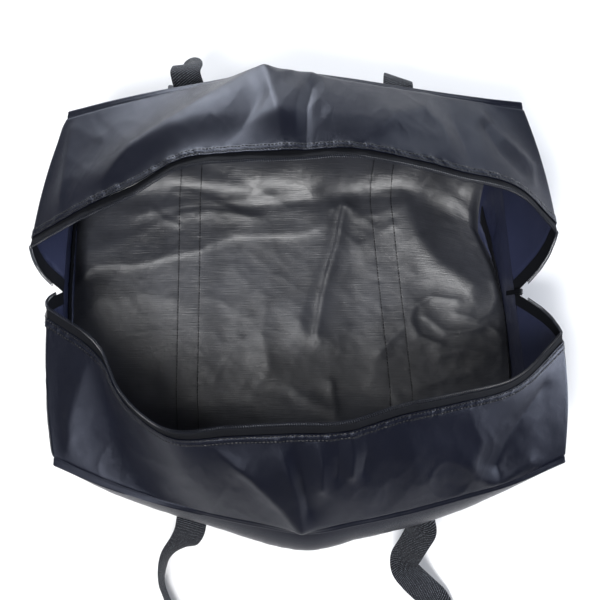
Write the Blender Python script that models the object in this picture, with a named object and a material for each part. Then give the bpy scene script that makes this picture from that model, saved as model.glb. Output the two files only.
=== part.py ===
"""Soft box duffel for tent poles, standing open and empty on its base.

Frame: origin at the middle of the base's underside, +X to the right end, +Y to the far side, +Z up.
The cloth is one skin of quads. Its middle surface is worked out from the rim tables below, then cut
into panels along the sewn seams, and each panel gets its thickness.
"""
import math

import bmesh
import bpy
import numpy as np

# Cut sizes of the bag, in metres
LENGTH = 0.600
WIDTH = 0.300
HEIGHT = 0.260

# Cloth, webbing and zip, in metres
CLOTH = 0.0015
GAP = 0.0003
WEB_WIDTH = 0.038
WEB_THICK = 0.0015
STRAP_SPACING = 0.280
SEWN_NEAR = 0.156
SEWN_FAR = 0.198
LIFT_RAMP = 0.007
TAPE_WIDTH = 0.0085
ZIP_DROP = 0.104
COIL_DELAY = 0.021
COIL_WIDTH = 0.0050
COIL_HEIGHT = 0.0034
SLIDER_LENGTH = 0.009
SLIDER_THICK = 0.0045
SLIDER_CLEAR = 0.0007
PULL_LENGTH = 0.024
PULL_WIDTH = 0.0060
PULL_THICK = 0.0016
PULL_STAND_OFF = 0.0035
LOOP_STAND_OFF = 0.0006
LOOP_ROOT = 0.0076
BINDING_THICK = 0.0012
BINDING_LOW = 0.031
BINDING_HIGH = 0.062

# How the open bag slumps, in metres
LEFT_END_BOW = 0.015
RIGHT_END_BOW = -0.005
RIGHT_FOOT_BOW = 0.022
SLIT_BELLY = 0.009
END_FOLD_BOW = 0.005
FLAP_PUFF = 0.008
WALL_START = 0.210
WALL_RISE = 0.240

# Largest steps of the grids, as shares of the length, the wall's height and the half width
STEP_ALONG = 0.034
STEP_UP = 0.135
STEPS_ACROSS = 6
END_FOLD_REACH = 0.12
LOOP_STEP = 0.015

# Where the curves ease in and out, as shares of the length
RIGHT_FOOT_REACH = 0.20
FOLD_FADE = 0.11
CREASE_FADE = 0.21

# How far a flap's folds move it out and up, as shares of their size
PUFF_OUT = 0.6
PUFF_UP = 0.8

# Grid shares closer than this are one, and so are points closer than WELD, in metres
SAME_SHARE = 1e-5
WELD = 1e-6
MITRE_SOFTENING = 0.02

NEAR = -1
FAR = 1
LEFT = -1
RIGHT = 1


def table(columns, rows):
    """Named columns of a short table, as a dictionary of arrays."""
    return dict(zip(columns.split(), np.array(rows, dtype=float).T))


# Each side of the bag at eleven even stations from left to right. x is in shares of LENGTH, y of
# WIDTH and z of HEIGHT. foot is the base's edge, seam the top of the wall, mouth the zip's edge,
# and swell says how far the wall leans out under its seam, in shares of WIDTH.
RIM_COLUMNS = "foot_x foot_y seam_x seam_y seam_z mouth_x mouth_y mouth_z swell"
RIM = {
    NEAR: table(RIM_COLUMNS, [
        (-0.500, -0.42, -0.444, -0.763, 0.731, -0.473, -0.156, 0.712, 0.05),
        (-0.400, -0.43, -0.344, -0.845, 0.738, -0.364, -0.306, 0.827, 0.30),
        (-0.300, -0.43, -0.245, -0.904, 0.746, -0.300, -0.506, 0.962, 0.45),
        (-0.200, -0.43, -0.148, -0.948, 0.754, -0.206, -0.637, 1.096, 0.60),
        (-0.100, -0.43, -0.051, -0.987, 0.765, -0.101, -0.629, 1.146, 0.80),
        (0.005, -0.43, 0.043, -1.012, 0.773, 0.003, -0.619, 1.154, 0.90),
        (0.112, -0.43, 0.138, -0.980, 0.765, 0.105, -0.612, 1.146, 0.80),
        (0.222, -0.43, 0.235, -0.940, 0.758, 0.206, -0.552, 1.108, 0.74),
        (0.324, -0.43, 0.332, -0.889, 0.754, 0.316, -0.507, 1.031, 0.64),
        (0.418, -0.43, 0.430, -0.833, 0.750, 0.430, -0.441, 0.915, 0.32),
        (0.505, -0.42, 0.529, -0.751, 0.750, 0.532, -0.264, 0.788, 0.05)]),
    FAR: table(RIM_COLUMNS, [
        (-0.500, 0.42, -0.448, 0.670, 0.692, -0.510, 0.099, 0.731, 0.05),
        (-0.400, 0.43, -0.359, 0.702, 0.731, -0.402, 0.182, 0.865, 0.15),
        (-0.300, 0.43, -0.264, 0.730, 0.769, -0.292, 0.247, 0.992, 0.20),
        (-0.200, 0.43, -0.165, 0.752, 0.808, -0.193, 0.327, 1.096, 0.20),
        (-0.100, 0.43, -0.074, 0.770, 0.846, -0.089, 0.338, 1.146, 0.20),
        (0.000, 0.43, 0.026, 0.771, 0.865, 0.013, 0.343, 1.154, 0.20),
        (0.092, 0.43, 0.115, 0.754, 0.854, 0.116, 0.357, 1.146, 0.20),
        (0.182, 0.43, 0.206, 0.736, 0.823, 0.222, 0.332, 1.108, 0.20),
        (0.280, 0.42, 0.294, 0.722, 0.785, 0.327, 0.299, 1.038, 0.20),
        (0.372, 0.37, 0.387, 0.713, 0.738, 0.443, 0.269, 0.923, 0.15),
        (0.445, 0.30, 0.479, 0.706, 0.700, 0.534, 0.152, 0.769, 0.05)]),
}

# Raised folds of the base cloth. x is in shares of LENGTH, y of WIDTH, rise of HEIGHT and half of
# LENGTH: half the fold's width.
BASE_FOLDS = table("x0 y0 x1 y1 rise half", [
    (-0.46, 0.06, -0.28, 0.22, 0.028, 0.032),
    (-0.28, 0.22, -0.04, 0.29, 0.020, 0.030),
    (0.13, 0.40, 0.09, -0.05, 0.030, 0.028),
    (0.27, 0.40, 0.44, 0.16, 0.036, 0.030),
    (0.29, -0.05, 0.43, -0.20, 0.030, 0.034)])

# Creases that run from a seam to the mouth. along is the share from left to right, rise is in
# shares of HEIGHT and half in shares of the length.
FLAP_CREASES = {
    NEAR: table("along rise half", [(0.20, -0.030, 0.033), (0.48, 0.035, 0.023), (0.74, -0.020, 0.040)]),
    FAR: table("along rise half", [(0.30, -0.020, 0.040), (0.43, 0.022, 0.020), (0.52, 0.026, 0.020)]),
}

# Loops of webbing, from the left sewn end to the right one. x is in shares of STRAP_SPACING, y of
# WIDTH, and lift of HEIGHT, above a webbing that touches the floor. stand is the angle in degrees
# of its width from level, 90 on edge.
LOOP = {
    NEAR: table("x y lift stand", [
        (-0.418, -0.985, 0.425, 5), (-0.430, -1.035, 0.385, 14), (-0.454, -1.073, 0.321, 34),
        (-0.511, -1.120, 0.223, 62), (-0.552, -1.170, 0.137, 80), (-0.580, -1.235, 0.045, 88),
        (-0.585, -1.300, 0.000, 90), (-0.554, -1.370, 0.000, 90), (-0.470, -1.470, 0.000, 90),
        (-0.260, -1.550, 0.000, 86), (0.040, -1.580, 0.000, 70), (0.360, -1.560, 0.000, 45),
        (0.620, -1.500, 0.000, 20), (0.720, -1.420, 0.006, 6), (0.690, -1.358, 0.030, 4),
        (0.638, -1.311, 0.059, 6), (0.584, -1.263, 0.100, 10), (0.542, -1.215, 0.153, 14),
        (0.530, -1.167, 0.203, 20), (0.548, -1.119, 0.268, 24), (0.571, -1.072, 0.324, 20),
        (0.588, -1.028, 0.390, 12), (0.575, -0.985, 0.425, 4)]),
    FAR: table("x y lift stand", [
        (-0.444, 0.800, 0.650, 0), (-0.456, 0.845, 0.685, -4), (-0.450, 0.885, 0.660, -8),
        (-0.470, 0.915, 0.530, 4), (-0.510, 0.930, 0.330, 22), (-0.525, 0.940, 0.140, 50),
        (-0.460, 0.945, 0.010, 82), (-0.200, 0.935, 0.000, 90), (0.080, 0.930, 0.000, 90),
        (0.360, 0.935, 0.000, 86), (0.490, 0.930, 0.110, 54), (0.520, 0.905, 0.300, 22),
        (0.510, 0.872, 0.500, 8), (0.497, 0.834, 0.620, 2), (0.495, 0.800, 0.640, 0)]),
}

COLOURS = {
    "cloth": ((0.020, 0.024, 0.045), 0.55),
    "webbing": ((0.012, 0.016, 0.034), 0.75),
    "zip": ((0.008, 0.008, 0.011), 0.45),
    "binding": ((0.010, 0.011, 0.016), 0.70),
}


def smooth(values, share):
    """Cubic curve through evenly spaced values, with the slope at each from its two neighbours."""
    spans = len(values) - 1
    place = np.clip(np.asarray(share, dtype=float), 0.0, 1.0) * spans
    index = np.minimum(place.astype(int), spans - 1)
    f = place - index
    slope = np.gradient(values)
    return ((1 + 2 * f) * (1 - f) ** 2 * values[index] + f * (1 - f) ** 2 * slope[index]
            + f * f * (3 - 2 * f) * values[index + 1] + f * f * (f - 1) * slope[index + 1])


def rim_point(side, edge, along):
    """A point of the foot, seam or mouth of one side, at a share of the way from left to right."""
    rim = RIM[side]
    x = smooth(rim[edge + "_x"], along) * LENGTH
    y = smooth(rim[edge + "_y"], along) * WIDTH
    z = smooth(rim[edge + "_z"], along) * HEIGHT if edge != "foot" else np.full_like(x, CLOTH / 2)
    return np.stack((x, y, z), axis=-1)


def between(start, end, share):
    """The point that lies at a share of the way from one point to another."""
    return start + (end - start) * np.asarray(share)[..., None]


def strap_lift(along):
    """How far the base rises over the webbing that runs under it."""
    off = np.abs(np.abs(along - 0.5) * LENGTH - STRAP_SPACING / 2) - WEB_WIDTH / 2
    return (WEB_THICK + GAP) * np.clip(1 - off / LIFT_RAMP, 0, 1)


def wall_point(side, along, up):
    """The wall: a cubic that leaves the base level and outwards and meets the seam from below."""
    along, up = np.broadcast_arrays(np.asarray(along, dtype=float), np.asarray(up, dtype=float))
    foot = rim_point(side, "foot", along)
    seam = rim_point(side, "seam", along)
    nothing = np.zeros_like(along)
    leave = np.stack((nothing, nothing + side * WALL_START, nothing), axis=-1)
    swell = smooth(RIM[side]["swell"], along) * WIDTH
    arrive = np.stack((nothing, -side * swell, nothing + WALL_RISE), axis=-1)
    t = up[..., None]
    point = ((1 + 2 * t) * (1 - t) ** 2 * foot + t * (1 - t) ** 2 * leave
             + t * t * (3 - 2 * t) * seam + t * t * (t - 1) * arrive)
    point[..., 2] += strap_lift(along) * np.clip(1 - up / STEP_UP, 0, 1)
    return point


def fold_rise(x, y):
    """Height of the base's folds: each is a ridge along a line, with a round top and soft ends."""
    rise = np.zeros_like(x)
    for x0, y0, x1, y1, height, half in zip(*BASE_FOLDS.values()):
        start = np.array((x0 * LENGTH, y0 * WIDTH))
        run = np.array((x1 * LENGTH, y1 * WIDTH)) - start
        share = np.clip(((x - start[0]) * run[0] + (y - start[1]) * run[1]) / (run @ run), 0, 1)
        away = np.hypot(x - start[0] - share * run[0], y - start[1] - share * run[1])
        rise += height * HEIGHT * np.exp(-(away / (half * LENGTH)) ** 2)
    return rise


def base_point(along, across):
    """The base: level between the two feet, with its folds, and lifted where the webbing passes."""
    along, across = np.broadcast_arrays(along, across)
    point = between(rim_point(NEAR, "foot", along), rim_point(FAR, "foot", along), across)
    end = np.clip(1 - (1 - along) / RIGHT_FOOT_REACH, 0, 1)
    point[..., 0] += RIGHT_FOOT_BOW * end * np.sin(math.pi * across)
    inside = np.sin(math.pi * across) * np.sin(math.pi * along)
    folds = fold_rise(point[..., 0], point[..., 1]) * np.clip(inside / (math.pi * FOLD_FADE), 0, 1)
    point[..., 2] += folds + strap_lift(along)
    return point


def flap_point(side, along, out):
    """The top flap, from the seam (out 0) to the zip's edge (out 1), with its creases."""
    along, out = np.broadcast_arrays(along, out)
    point = between(rim_point(side, "seam", along), rim_point(side, "mouth", along), out)
    puff = FLAP_PUFF * np.sin(math.pi * along)
    for place, rise, half in zip(*FLAP_CREASES[side].values()):
        puff = puff + rise * HEIGHT * np.exp(-np.abs(along - place) / half)
    puff = puff * np.clip(along * (1 - along) / (CREASE_FADE * (1 - CREASE_FADE)), 0, 1)
    point[..., 1] += side * PUFF_OUT * puff * np.sin(math.pi * out)
    point[..., 2] += PUFF_UP * puff * np.sin(math.pi * out)
    end = np.clip(1 - along / END_FOLD_REACH, 0, 1) - np.clip(1 - (1 - along) / END_FOLD_REACH, 0, 1)
    point[..., 0] -= end * END_FOLD_BOW * np.sin(math.pi * out)
    return point


def end_bow(end, up):
    """How far the middle of an end wall bows out from between its corners, in X."""
    if end == LEFT:
        return -LEFT_END_BOW * np.sin(math.pi * up)
    return RIGHT_END_BOW * np.sin(math.pi * up) + RIGHT_FOOT_BOW * (1 - up) ** 2


def end_point(end, up, across):
    """The end wall under the slit, between the two corner seams."""
    up, across = np.broadcast_arrays(up, across)
    along = np.full_like(up, 0.0 if end == LEFT else 1.0)
    point = between(wall_point(NEAR, along, up), wall_point(FAR, along, up), across)
    point[..., 0] += end_bow(end, up) * np.sin(math.pi * across)
    return point


def half_end_point(end, side, up, out):
    """Half of an end wall beside the slit, from the corner seam (out 0) to the zip's edge (out 1)."""
    up, out = np.broadcast_arrays(up, out)
    along = np.full_like(up, 0.0 if end == LEFT else 1.0)
    corner = wall_point(side, along, up)
    low = np.full_like(up, slit_share())
    slit_end = end_point(end, low, np.full_like(up, 0.5))
    lobe = rim_point(side, "mouth", along)
    rise = (up - slit_share()) / (1 - slit_share())
    edge = between(slit_end, lobe, rise)
    edge[..., 0] += end * SLIT_BELLY * np.sin(math.pi * rise)
    point = between(corner, edge, out)
    point[..., 0] += end_bow(end, up) * (np.sin(math.pi * out / 2) - out)
    point[..., 0] += end * END_FOLD_BOW * rise * np.sin(math.pi * out)
    return point


def slit_share():
    """Share of the wall's height at which the zip's slit ends."""
    return 1 - ZIP_DROP / HEIGHT


def fill(stops, step):
    """Even steps between neighbouring stops, none longer than the given one."""
    stops = np.sort(stops)
    stops = stops[np.append(True, np.diff(stops) > SAME_SHARE)]
    parts = [np.linspace(a, b, math.ceil((b - a) / step - SAME_SHARE), endpoint=False)
             for a, b in zip(stops[:-1], stops[1:])]
    return np.append(np.concatenate(parts), stops[-1])


def row_at(stops, share):
    """Number of the grid row that lies at a share."""
    return int(np.argmin(np.abs(stops - share)))


def stations():
    """Shares of the grids: along the bag, up its walls, and out from a seam to the zip's edge."""
    strap_edges = []
    for centre in (0.5 - STRAP_SPACING / 2 / LENGTH, 0.5 + STRAP_SPACING / 2 / LENGTH):
        for half in (WEB_WIDTH / 2, WEB_WIDTH / 2 + LIFT_RAMP):
            strap_edges += [centre - half / LENGTH, centre + half / LENGTH]
    along = fill([0, 1] + strap_edges, STEP_ALONG)
    slit = slit_share()
    up = fill([0, BINDING_LOW / HEIGHT, BINDING_HIGH / HEIGHT, slit, slit + COIL_DELAY / HEIGHT,
               SEWN_NEAR / HEIGHT, SEWN_FAR / HEIGHT, 1], STEP_UP)
    tape = 2 * TAPE_WIDTH / WIDTH
    out = np.append(np.linspace(0, 1 - tape, STEPS_ACROSS + 1), 1)
    return along, up, out


def side_skin(side, along, up, out):
    """One side's top cloth: up the left end, along the flap and down the right end."""
    climb = up[row_at(up, slit_share()):-1]
    left = half_end_point(LEFT, side, climb[:, None], out[None])
    top = flap_point(side, along[:, None], out[None])
    right = half_end_point(RIGHT, side, climb[::-1, None], out[None])
    return np.concatenate((left, top, right))


def skin_grids():
    """Middle surface of every cloth panel and zip tape, each a grid of points facing outwards."""
    along, up, out = stations()
    across = np.concatenate((out / 2, (1 - out[::-1] / 2)[1:]))
    body = np.concatenate((wall_point(FAR, along[:, None], up[None, ::-1]),
                           base_point(along[:, None], across[None, ::-1])[:, 1:-1],
                           wall_point(NEAR, along[:, None], up[None])), axis=1)
    grids = {"body_panel": body}
    low = up[:row_at(up, slit_share()) + 1]
    for end, name in ((LEFT, "end_panel_left"), (RIGHT, "end_panel_right")):
        wall = end_point(end, low[:, None], across[None])
        wall[0] = base_point(np.full_like(across, 0.0 if end == LEFT else 1.0), across)
        grids[name] = wall if end == LEFT else wall[:, ::-1]
    for side, name in ((NEAR, "near"), (FAR, "far")):
        cloth = side_skin(side, along, up, out)
        if side == FAR:
            cloth = cloth[::-1]
        grids["gusset_" + name] = cloth[:, :-1]
        grids["zip_tape_" + name] = cloth[:, -2:]
    return grids


def face_normals(grid):
    """Unit normal of each quad of a grid, from its diagonals."""
    one = grid[1:, 1:] - grid[:-1, :-1]
    other = grid[:-1, 1:] - grid[1:, :-1]
    normal = np.cross(one, other)
    return normal / np.linalg.norm(normal, axis=-1, keepdims=True)


def corner_terms(grid):
    """Each quad's four corners with its normal, as flat arrays."""
    normal = face_normals(grid).reshape(-1, 3)
    corners = [grid[:-1, :-1], grid[1:, :-1], grid[1:, 1:], grid[:-1, 1:]]
    points = np.concatenate([corner.reshape(-1, 3) for corner in corners])
    return points, np.tile(normal, (4, 1))


def weld_keys(points):
    """Whole numbers that are equal where points lie together."""
    return np.round(points.reshape(-1, 3) / WELD).astype(int)


def thickness_vectors(grids):
    """For every grid point, the mitred step that lies one unit off each face that meets there."""
    terms = [corner_terms(grid) for grid in grids.values()]
    points = np.concatenate([term[0] for term in terms])
    normals = np.concatenate([term[1] for term in terms])
    keys, index = np.unique(weld_keys(points), axis=0, return_inverse=True)
    index = index.ravel()
    matrix = np.zeros((len(keys), 3, 3))
    target = np.zeros((len(keys), 3))
    np.add.at(matrix, index, normals[:, :, None] * normals[:, None, :])
    np.add.at(target, index, normals)
    softening = MITRE_SOFTENING * np.trace(matrix, axis1=1, axis2=2)[:, None, None] * np.eye(3)
    straight = target / np.linalg.norm(target, axis=1, keepdims=True)
    target += np.einsum("nij,nj->ni", softening, straight)
    mitre = np.linalg.solve(matrix + softening, target[..., None])
    lookup = {tuple(key): vector for key, vector in zip(keys, mitre[..., 0])}
    steps = {}
    for name, grid in grids.items():
        steps[name] = np.array([lookup[tuple(key)] for key in weld_keys(grid)]).reshape(grid.shape)
    return steps


def draw_back(grid, distance):
    """Shift of each edge of a grid into the grid, which leaves the gap at a seam."""
    shift = np.zeros_like(grid)
    for axis in (0, 1):
        for edge, inner in ((0, 1), (-1, -2)):
            step = np.take(grid, inner, axis) - np.take(grid, edge, axis)
            step = step / np.linalg.norm(step, axis=-1, keepdims=True) * distance
            if axis == 0:
                shift[edge] += step
            else:
                shift[:, edge] += step
    return shift


def closed_shell(outer, inner):
    """Vertices and faces of the solid between two grids: both faces and the rim between them."""
    rows, columns = outer.shape[:2]
    points = np.concatenate((outer.reshape(-1, 3), inner.reshape(-1, 3)))
    number = np.arange(rows * columns).reshape(rows, columns)
    quads = np.stack((number[:-1, :-1], number[1:, :-1], number[1:, 1:], number[:-1, 1:]), axis=-1)
    quads = quads.reshape(-1, 4)
    under = quads[:, ::-1] + rows * columns
    loop = np.concatenate((number[0, :-1], number[:-1, -1], number[-1, :0:-1], number[:0:-1, 0]))
    after = np.roll(loop, -1)
    rim = np.stack((loop, after, after + rows * columns, loop + rows * columns), axis=-1)
    return points, np.concatenate((quads, under, rim))


def material(kind):
    """A plain finish of one colour and roughness."""
    made = bpy.data.materials.get(kind) or bpy.data.materials.new(kind)
    colour, roughness = COLOURS[kind]
    made.use_nodes = True
    shader = made.node_tree.nodes["Principled BSDF"]
    shader.inputs["Base Color"].default_value = (*colour, 1)
    shader.inputs["Roughness"].default_value = roughness
    return made


def add_object(name, points, faces, kind):
    """A named mesh object with its triangles turned outwards."""
    mesh = bpy.data.meshes.new(name)
    mesh.from_pydata(points.tolist(), [], [list(face) for face in faces])
    work = bmesh.new()
    work.from_mesh(mesh)
    bmesh.ops.triangulate(work, faces=work.faces)
    bmesh.ops.recalc_face_normals(work, faces=work.faces)
    work.to_mesh(mesh)
    work.free()
    mesh.shade_smooth()
    mesh.set_sharp_from_angle(angle=math.radians(50))
    made = bpy.data.objects.new(name, mesh)
    bpy.context.scene.collection.objects.link(made)
    made.data.materials.append(material(kind))
    return made


def make_cloth(grids, steps):
    """The cloth panels and zip tapes, each a closed wall that keeps the gap to its neighbours."""
    for name, grid in grids.items():
        kind = "zip" if name.startswith("zip") else "cloth"
        shift = draw_back(grid, GAP / 2)
        half = steps[name] * CLOTH / 2
        add_object(name, *closed_shell(grid + half + shift, grid - half + shift), kind)


def patch(grid, low, high):
    """A layer on a grid, between two distances off its middle surface."""
    step = thickness_vectors({"patch": grid})["patch"]
    return closed_shell(grid + step * high, grid + step * low)


def strap_columns(along, end):
    """The rows of the body panel that lie over one webbing run."""
    centre = 0.5 + end * STRAP_SPACING / 2 / LENGTH
    half = WEB_WIDTH / 2 / LENGTH + SAME_SHARE
    return np.flatnonzero(np.abs(along - centre) < half)


def sewn_rows(up, count):
    """First and last column of the body panel that the sewn webbing covers."""
    first = len(up) - 1 - row_at(up, SEWN_FAR / HEIGHT)
    last = count - len(up) + row_at(up, SEWN_NEAR / HEIGHT)
    return first, last


def make_webbing(grids):
    """Webbing sewn outside the body panel, and the two free loops that go on from its ends."""
    along, up, _ = stations()
    body = grids["body_panel"]
    first, last = sewn_rows(up, body.shape[1])
    under = CLOTH / 2 + GAP
    ends = {}
    for end, name in ((LEFT, "webbing_left"), (RIGHT, "webbing_right")):
        columns = strap_columns(along, end)
        run = body[columns[0]:columns[-1] + 1, first:last + 1]
        add_object(name, *patch(run, under, under + WEB_THICK), "webbing")
        step = thickness_vectors({"run": run})["run"] * (under + WEB_THICK / 2 + LOOP_STAND_OFF)
        for side, edge, inner in ((FAR, 0, 1), (NEAR, -1, -2)):
            line = run[:, edge] + step[:, edge]
            onward = line.mean(axis=0) - (run[:, inner] + step[:, inner]).mean(axis=0)
            ends[end, side] = (line.mean(axis=0), line[-1] - line[0], onward / np.linalg.norm(onward))
    for side, name in ((NEAR, "handle_near"), (FAR, "handle_far")):
        add_object(name, *loop_shell(side, ends[LEFT, side], ends[RIGHT, side]), "webbing")


def along_route(path, wide):
    """Even steps along the cubic through a route's points, with its width directions carried along.

    The knots are the lengths of the straight runs between the points, so short runs bend least.
    """
    knots = np.append(0, np.cumsum(np.linalg.norm(np.diff(path, axis=0), axis=1)))
    place = np.linspace(0, knots[-1], math.ceil(knots[-1] / LOOP_STEP) + 1)
    index = np.clip(np.searchsorted(knots, place, side="right") - 1, 0, len(knots) - 2)
    span = (knots[index + 1] - knots[index])[:, None]
    f = (place[:, None] - knots[index, None]) / span
    result = []
    for values in (path, wide):
        slope = np.gradient(values, knots, axis=0)
        point = (1 + 2 * f) * (1 - f) ** 2 * values[index] + f * f * (3 - 2 * f) * values[index + 1]
        bend = f * (1 - f) ** 2 * slope[index] + f * f * (f - 1) * slope[index + 1]
        result.append(point + span * bend)
    return result


def loop_shell(side, left_end, right_end):
    """A free loop: a ribbon of webbing carried along a smooth route between two sewn ends."""
    rows = LOOP[side]
    angle = np.radians(rows["stand"])
    lowest = WEB_WIDTH / 2 * np.sin(angle) + WEB_THICK / 2 * np.cos(angle)
    height = rows["lift"] * HEIGHT + lowest
    centre = np.stack((rows["x"] * STRAP_SPACING, rows["y"] * WIDTH, height), axis=1)
    heading = np.gradient(centre, axis=0)
    level = np.stack((heading[:, 1], -heading[:, 0], 0 * heading[:, 0]), axis=1)
    level = level / np.linalg.norm(level, axis=1, keepdims=True)
    heading = heading / np.linalg.norm(heading, axis=1, keepdims=True)
    upright = np.array((0, 0, 1)) - heading * heading[:, 2:]
    upright = upright / np.linalg.norm(upright, axis=1, keepdims=True)
    wide = level * np.cos(angle)[:, None] + upright * np.sin(angle)[:, None]
    starts = []
    for point, width, onward in (left_end, right_end):
        unit = width / np.linalg.norm(width)
        starts.append((point + onward * GAP, point + onward * LOOP_ROOT, unit))
    path = np.concatenate(([starts[0][0], starts[0][1]], centre, [starts[1][1], starts[1][0]]))
    sign = np.sign(wide[0] @ starts[0][2]), np.sign(wide[-1] @ starts[1][2])
    wide = np.concatenate(([starts[0][2] * sign[0]] * 2, wide, [starts[1][2] * sign[1]] * 2))
    middle, across = along_route(path, wide)
    run = np.gradient(middle, axis=0)
    run = run / np.linalg.norm(run, axis=1, keepdims=True)
    across = across / np.linalg.norm(across, axis=1, keepdims=True)
    thick = np.cross(run, across)
    thick = thick / np.linalg.norm(thick, axis=1, keepdims=True)
    resting = np.abs(across[:, 2]) * WEB_WIDTH / 2 + np.abs(thick[:, 2]) * WEB_THICK / 2
    middle[:, 2] = np.maximum(middle[:, 2], resting)
    stripes = np.array((-0.5, 0.5))[None, :, None] * across[:, None] * WEB_WIDTH
    sheet = middle[:, None] + stripes
    half = thick[:, None] * WEB_THICK / 2
    return closed_shell(sheet + half, sheet - half)


def make_bindings(grids):
    """Binding tape on the inside of the end walls, over the seam that closes them."""
    _, up, _ = stations()
    low = row_at(up, BINDING_LOW / HEIGHT)
    high = row_at(up, BINDING_HIGH / HEIGHT)
    under = -(CLOTH / 2 + GAP)
    for name in ("left", "right"):
        wall = grids["end_panel_" + name][low:high + 1, 1:-1]
        add_object("seam_binding_" + name, *patch(wall, under - BINDING_THICK, under), "binding")


def make_coils(grids, steps):
    """The rows of teeth: a six-sided cord carried along each tape's free edge."""
    _, up, _ = stations()
    first = row_at(up, slit_share() + COIL_DELAY / HEIGHT) - row_at(up, slit_share())
    turn = np.radians(np.arange(0, 360, 60))
    for name in ("near", "far"):
        tape = grids["zip_tape_" + name][first:-first]
        outward = tape[:, 1] - tape[:, 0]
        outward = outward / np.linalg.norm(outward, axis=1, keepdims=True)
        normal = steps["zip_tape_" + name][first:-first, 1]
        centre = tape[:, 1] + outward * (GAP + COIL_WIDTH / 2)
        ring = (centre[:, None] + np.cos(turn)[None, :, None] * outward[:, None] * COIL_WIDTH / 2
                + np.sin(turn)[None, :, None] * normal[:, None] * COIL_HEIGHT / 2)
        add_object("zip_coil_" + name, *closed_tube(ring), "zip")


def closed_tube(rings):
    """Vertices and faces of a tube through rings of points, with a flat cap at each end."""
    rows, sides = rings.shape[:2]
    number = np.arange(rows * sides).reshape(rows, sides)
    ahead = np.roll(number, -1, axis=1)
    quads = np.stack((number[:-1], ahead[:-1], ahead[1:], number[1:]), axis=-1).reshape(-1, 4)
    return rings.reshape(-1, 3), quads.tolist() + [number[0, ::-1].tolist(), number[-1].tolist()]


def make_slider(grids):
    """The slider: a wedge in the foot of the right slit, which turns over into its hanging pull."""
    near = grids["zip_tape_near"][-2:, 1]
    far = grids["zip_tape_far"][:2, 1][::-1]
    foot = (near[1] + far[1]) / 2
    rise = (near[0] + far[0]) / 2 - foot
    reach = np.linalg.norm(rise)
    rise = rise / reach
    wide = far[0] - near[0]
    wide = wide - rise * (wide @ rise)
    slope = np.linalg.norm(wide) / 2 / reach
    wide = wide / np.linalg.norm(wide)
    out = np.cross(rise, wide)
    low = 2 * SLIDER_CLEAR / slope
    high = low + SLIDER_LENGTH
    side = SLIDER_THICK / 2 + PULL_STAND_OFF
    turn = side / 2
    body = SLIDER_THICK / 2
    tab = PULL_THICK / 2
    pull = PULL_WIDTH / 2
    rows = [(low, 0, SLIDER_CLEAR, body, 0),
            (high, 0, SLIDER_LENGTH * slope, body, 0),
            (high + tab, 0, pull, tab, 0)]
    for bend in np.radians((45, 90, 135, 180)):
        rows.append((high + body + turn * math.sin(bend), turn * (1 - math.cos(bend)), pull, tab, bend))
    rows.append((high + body - PULL_LENGTH, side, pull, tab, math.pi))
    rings = []
    for up, away, half_width, half_thick, bend in rows:
        centre = foot + rise * up + out * away
        thick = out * math.cos(bend) - rise * math.sin(bend)
        rings.append([centre + wide * half_width * sx + thick * half_thick * sy
                      for sx, sy in ((-1, -1), (1, -1), (1, 1), (-1, 1))])
    add_object("zip_slider", *closed_tube(np.array(rings)), "zip")


def clear_scene():
    """Empties the scene that Blender opens with."""
    for old in list(bpy.data.objects):
        bpy.data.objects.remove(old, do_unlink=True)


def main():
    """Makes every piece of the bag."""
    clear_scene()
    grids = skin_grids()
    steps = thickness_vectors(grids)
    make_cloth(grids, steps)
    make_webbing(grids)
    make_bindings(grids)
    make_coils(grids, steps)
    make_slider(grids)


main()
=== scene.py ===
"""Looks of the tent pole bag: fine cloth, zip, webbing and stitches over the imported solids.

Every piece is a surface worked out with numpy. The bag's middle surface follows the same rim tables
as the solids, on finer grids, and moves along its own normal by the height of the folds.
"""
import math
from functools import partial

import bpy
import numpy as np
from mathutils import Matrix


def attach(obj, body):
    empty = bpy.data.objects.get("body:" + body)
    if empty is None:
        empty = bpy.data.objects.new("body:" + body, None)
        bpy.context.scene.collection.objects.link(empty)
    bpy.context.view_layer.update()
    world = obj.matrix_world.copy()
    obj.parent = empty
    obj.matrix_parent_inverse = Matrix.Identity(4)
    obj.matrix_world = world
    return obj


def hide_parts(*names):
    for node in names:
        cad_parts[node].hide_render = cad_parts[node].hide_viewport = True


bl_info = {
    "name": "Tent Pole Bag",
    "version": (1, 0, 0),
    "blender": (4, 5, 0),
    "location": "3D View > Sidebar > Bag",
    "description": "Builds the cloth, zip, webbing and stitches of a soft box duffel",
    "category": "Object",
}

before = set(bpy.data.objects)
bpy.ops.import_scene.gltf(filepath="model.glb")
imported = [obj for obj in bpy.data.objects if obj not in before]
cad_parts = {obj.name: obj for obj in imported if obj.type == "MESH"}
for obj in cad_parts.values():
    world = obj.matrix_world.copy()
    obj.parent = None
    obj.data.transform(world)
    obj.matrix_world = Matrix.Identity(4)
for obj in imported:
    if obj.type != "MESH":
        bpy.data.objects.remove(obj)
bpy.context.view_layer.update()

# Cut sizes of the bag in metres, as in the solids
LENGTH = 0.600
WIDTH = 0.300
HEIGHT = 0.260
CLOTH = 0.0015
GAP = 0.0003
WEB_WIDTH = 0.038
WEB_THICK = 0.0015
STRAP_SPACING = 0.280
SEWN_NEAR = 0.156
SEWN_FAR = 0.198
SEWN_APART = 0.029
TAPE_WIDTH = 0.0085
ZIP_DROP = 0.104
COIL_DELAY = 0.021
COIL_WIDTH = 0.0050
COIL_HEIGHT = 0.0034
LOOP_STAND_OFF = 0.0006
LOOP_ROOT = 0.0076
BINDING_THICK = 0.0012
BINDING_LOW = 0.031
BINDING_HIGH = 0.062

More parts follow.
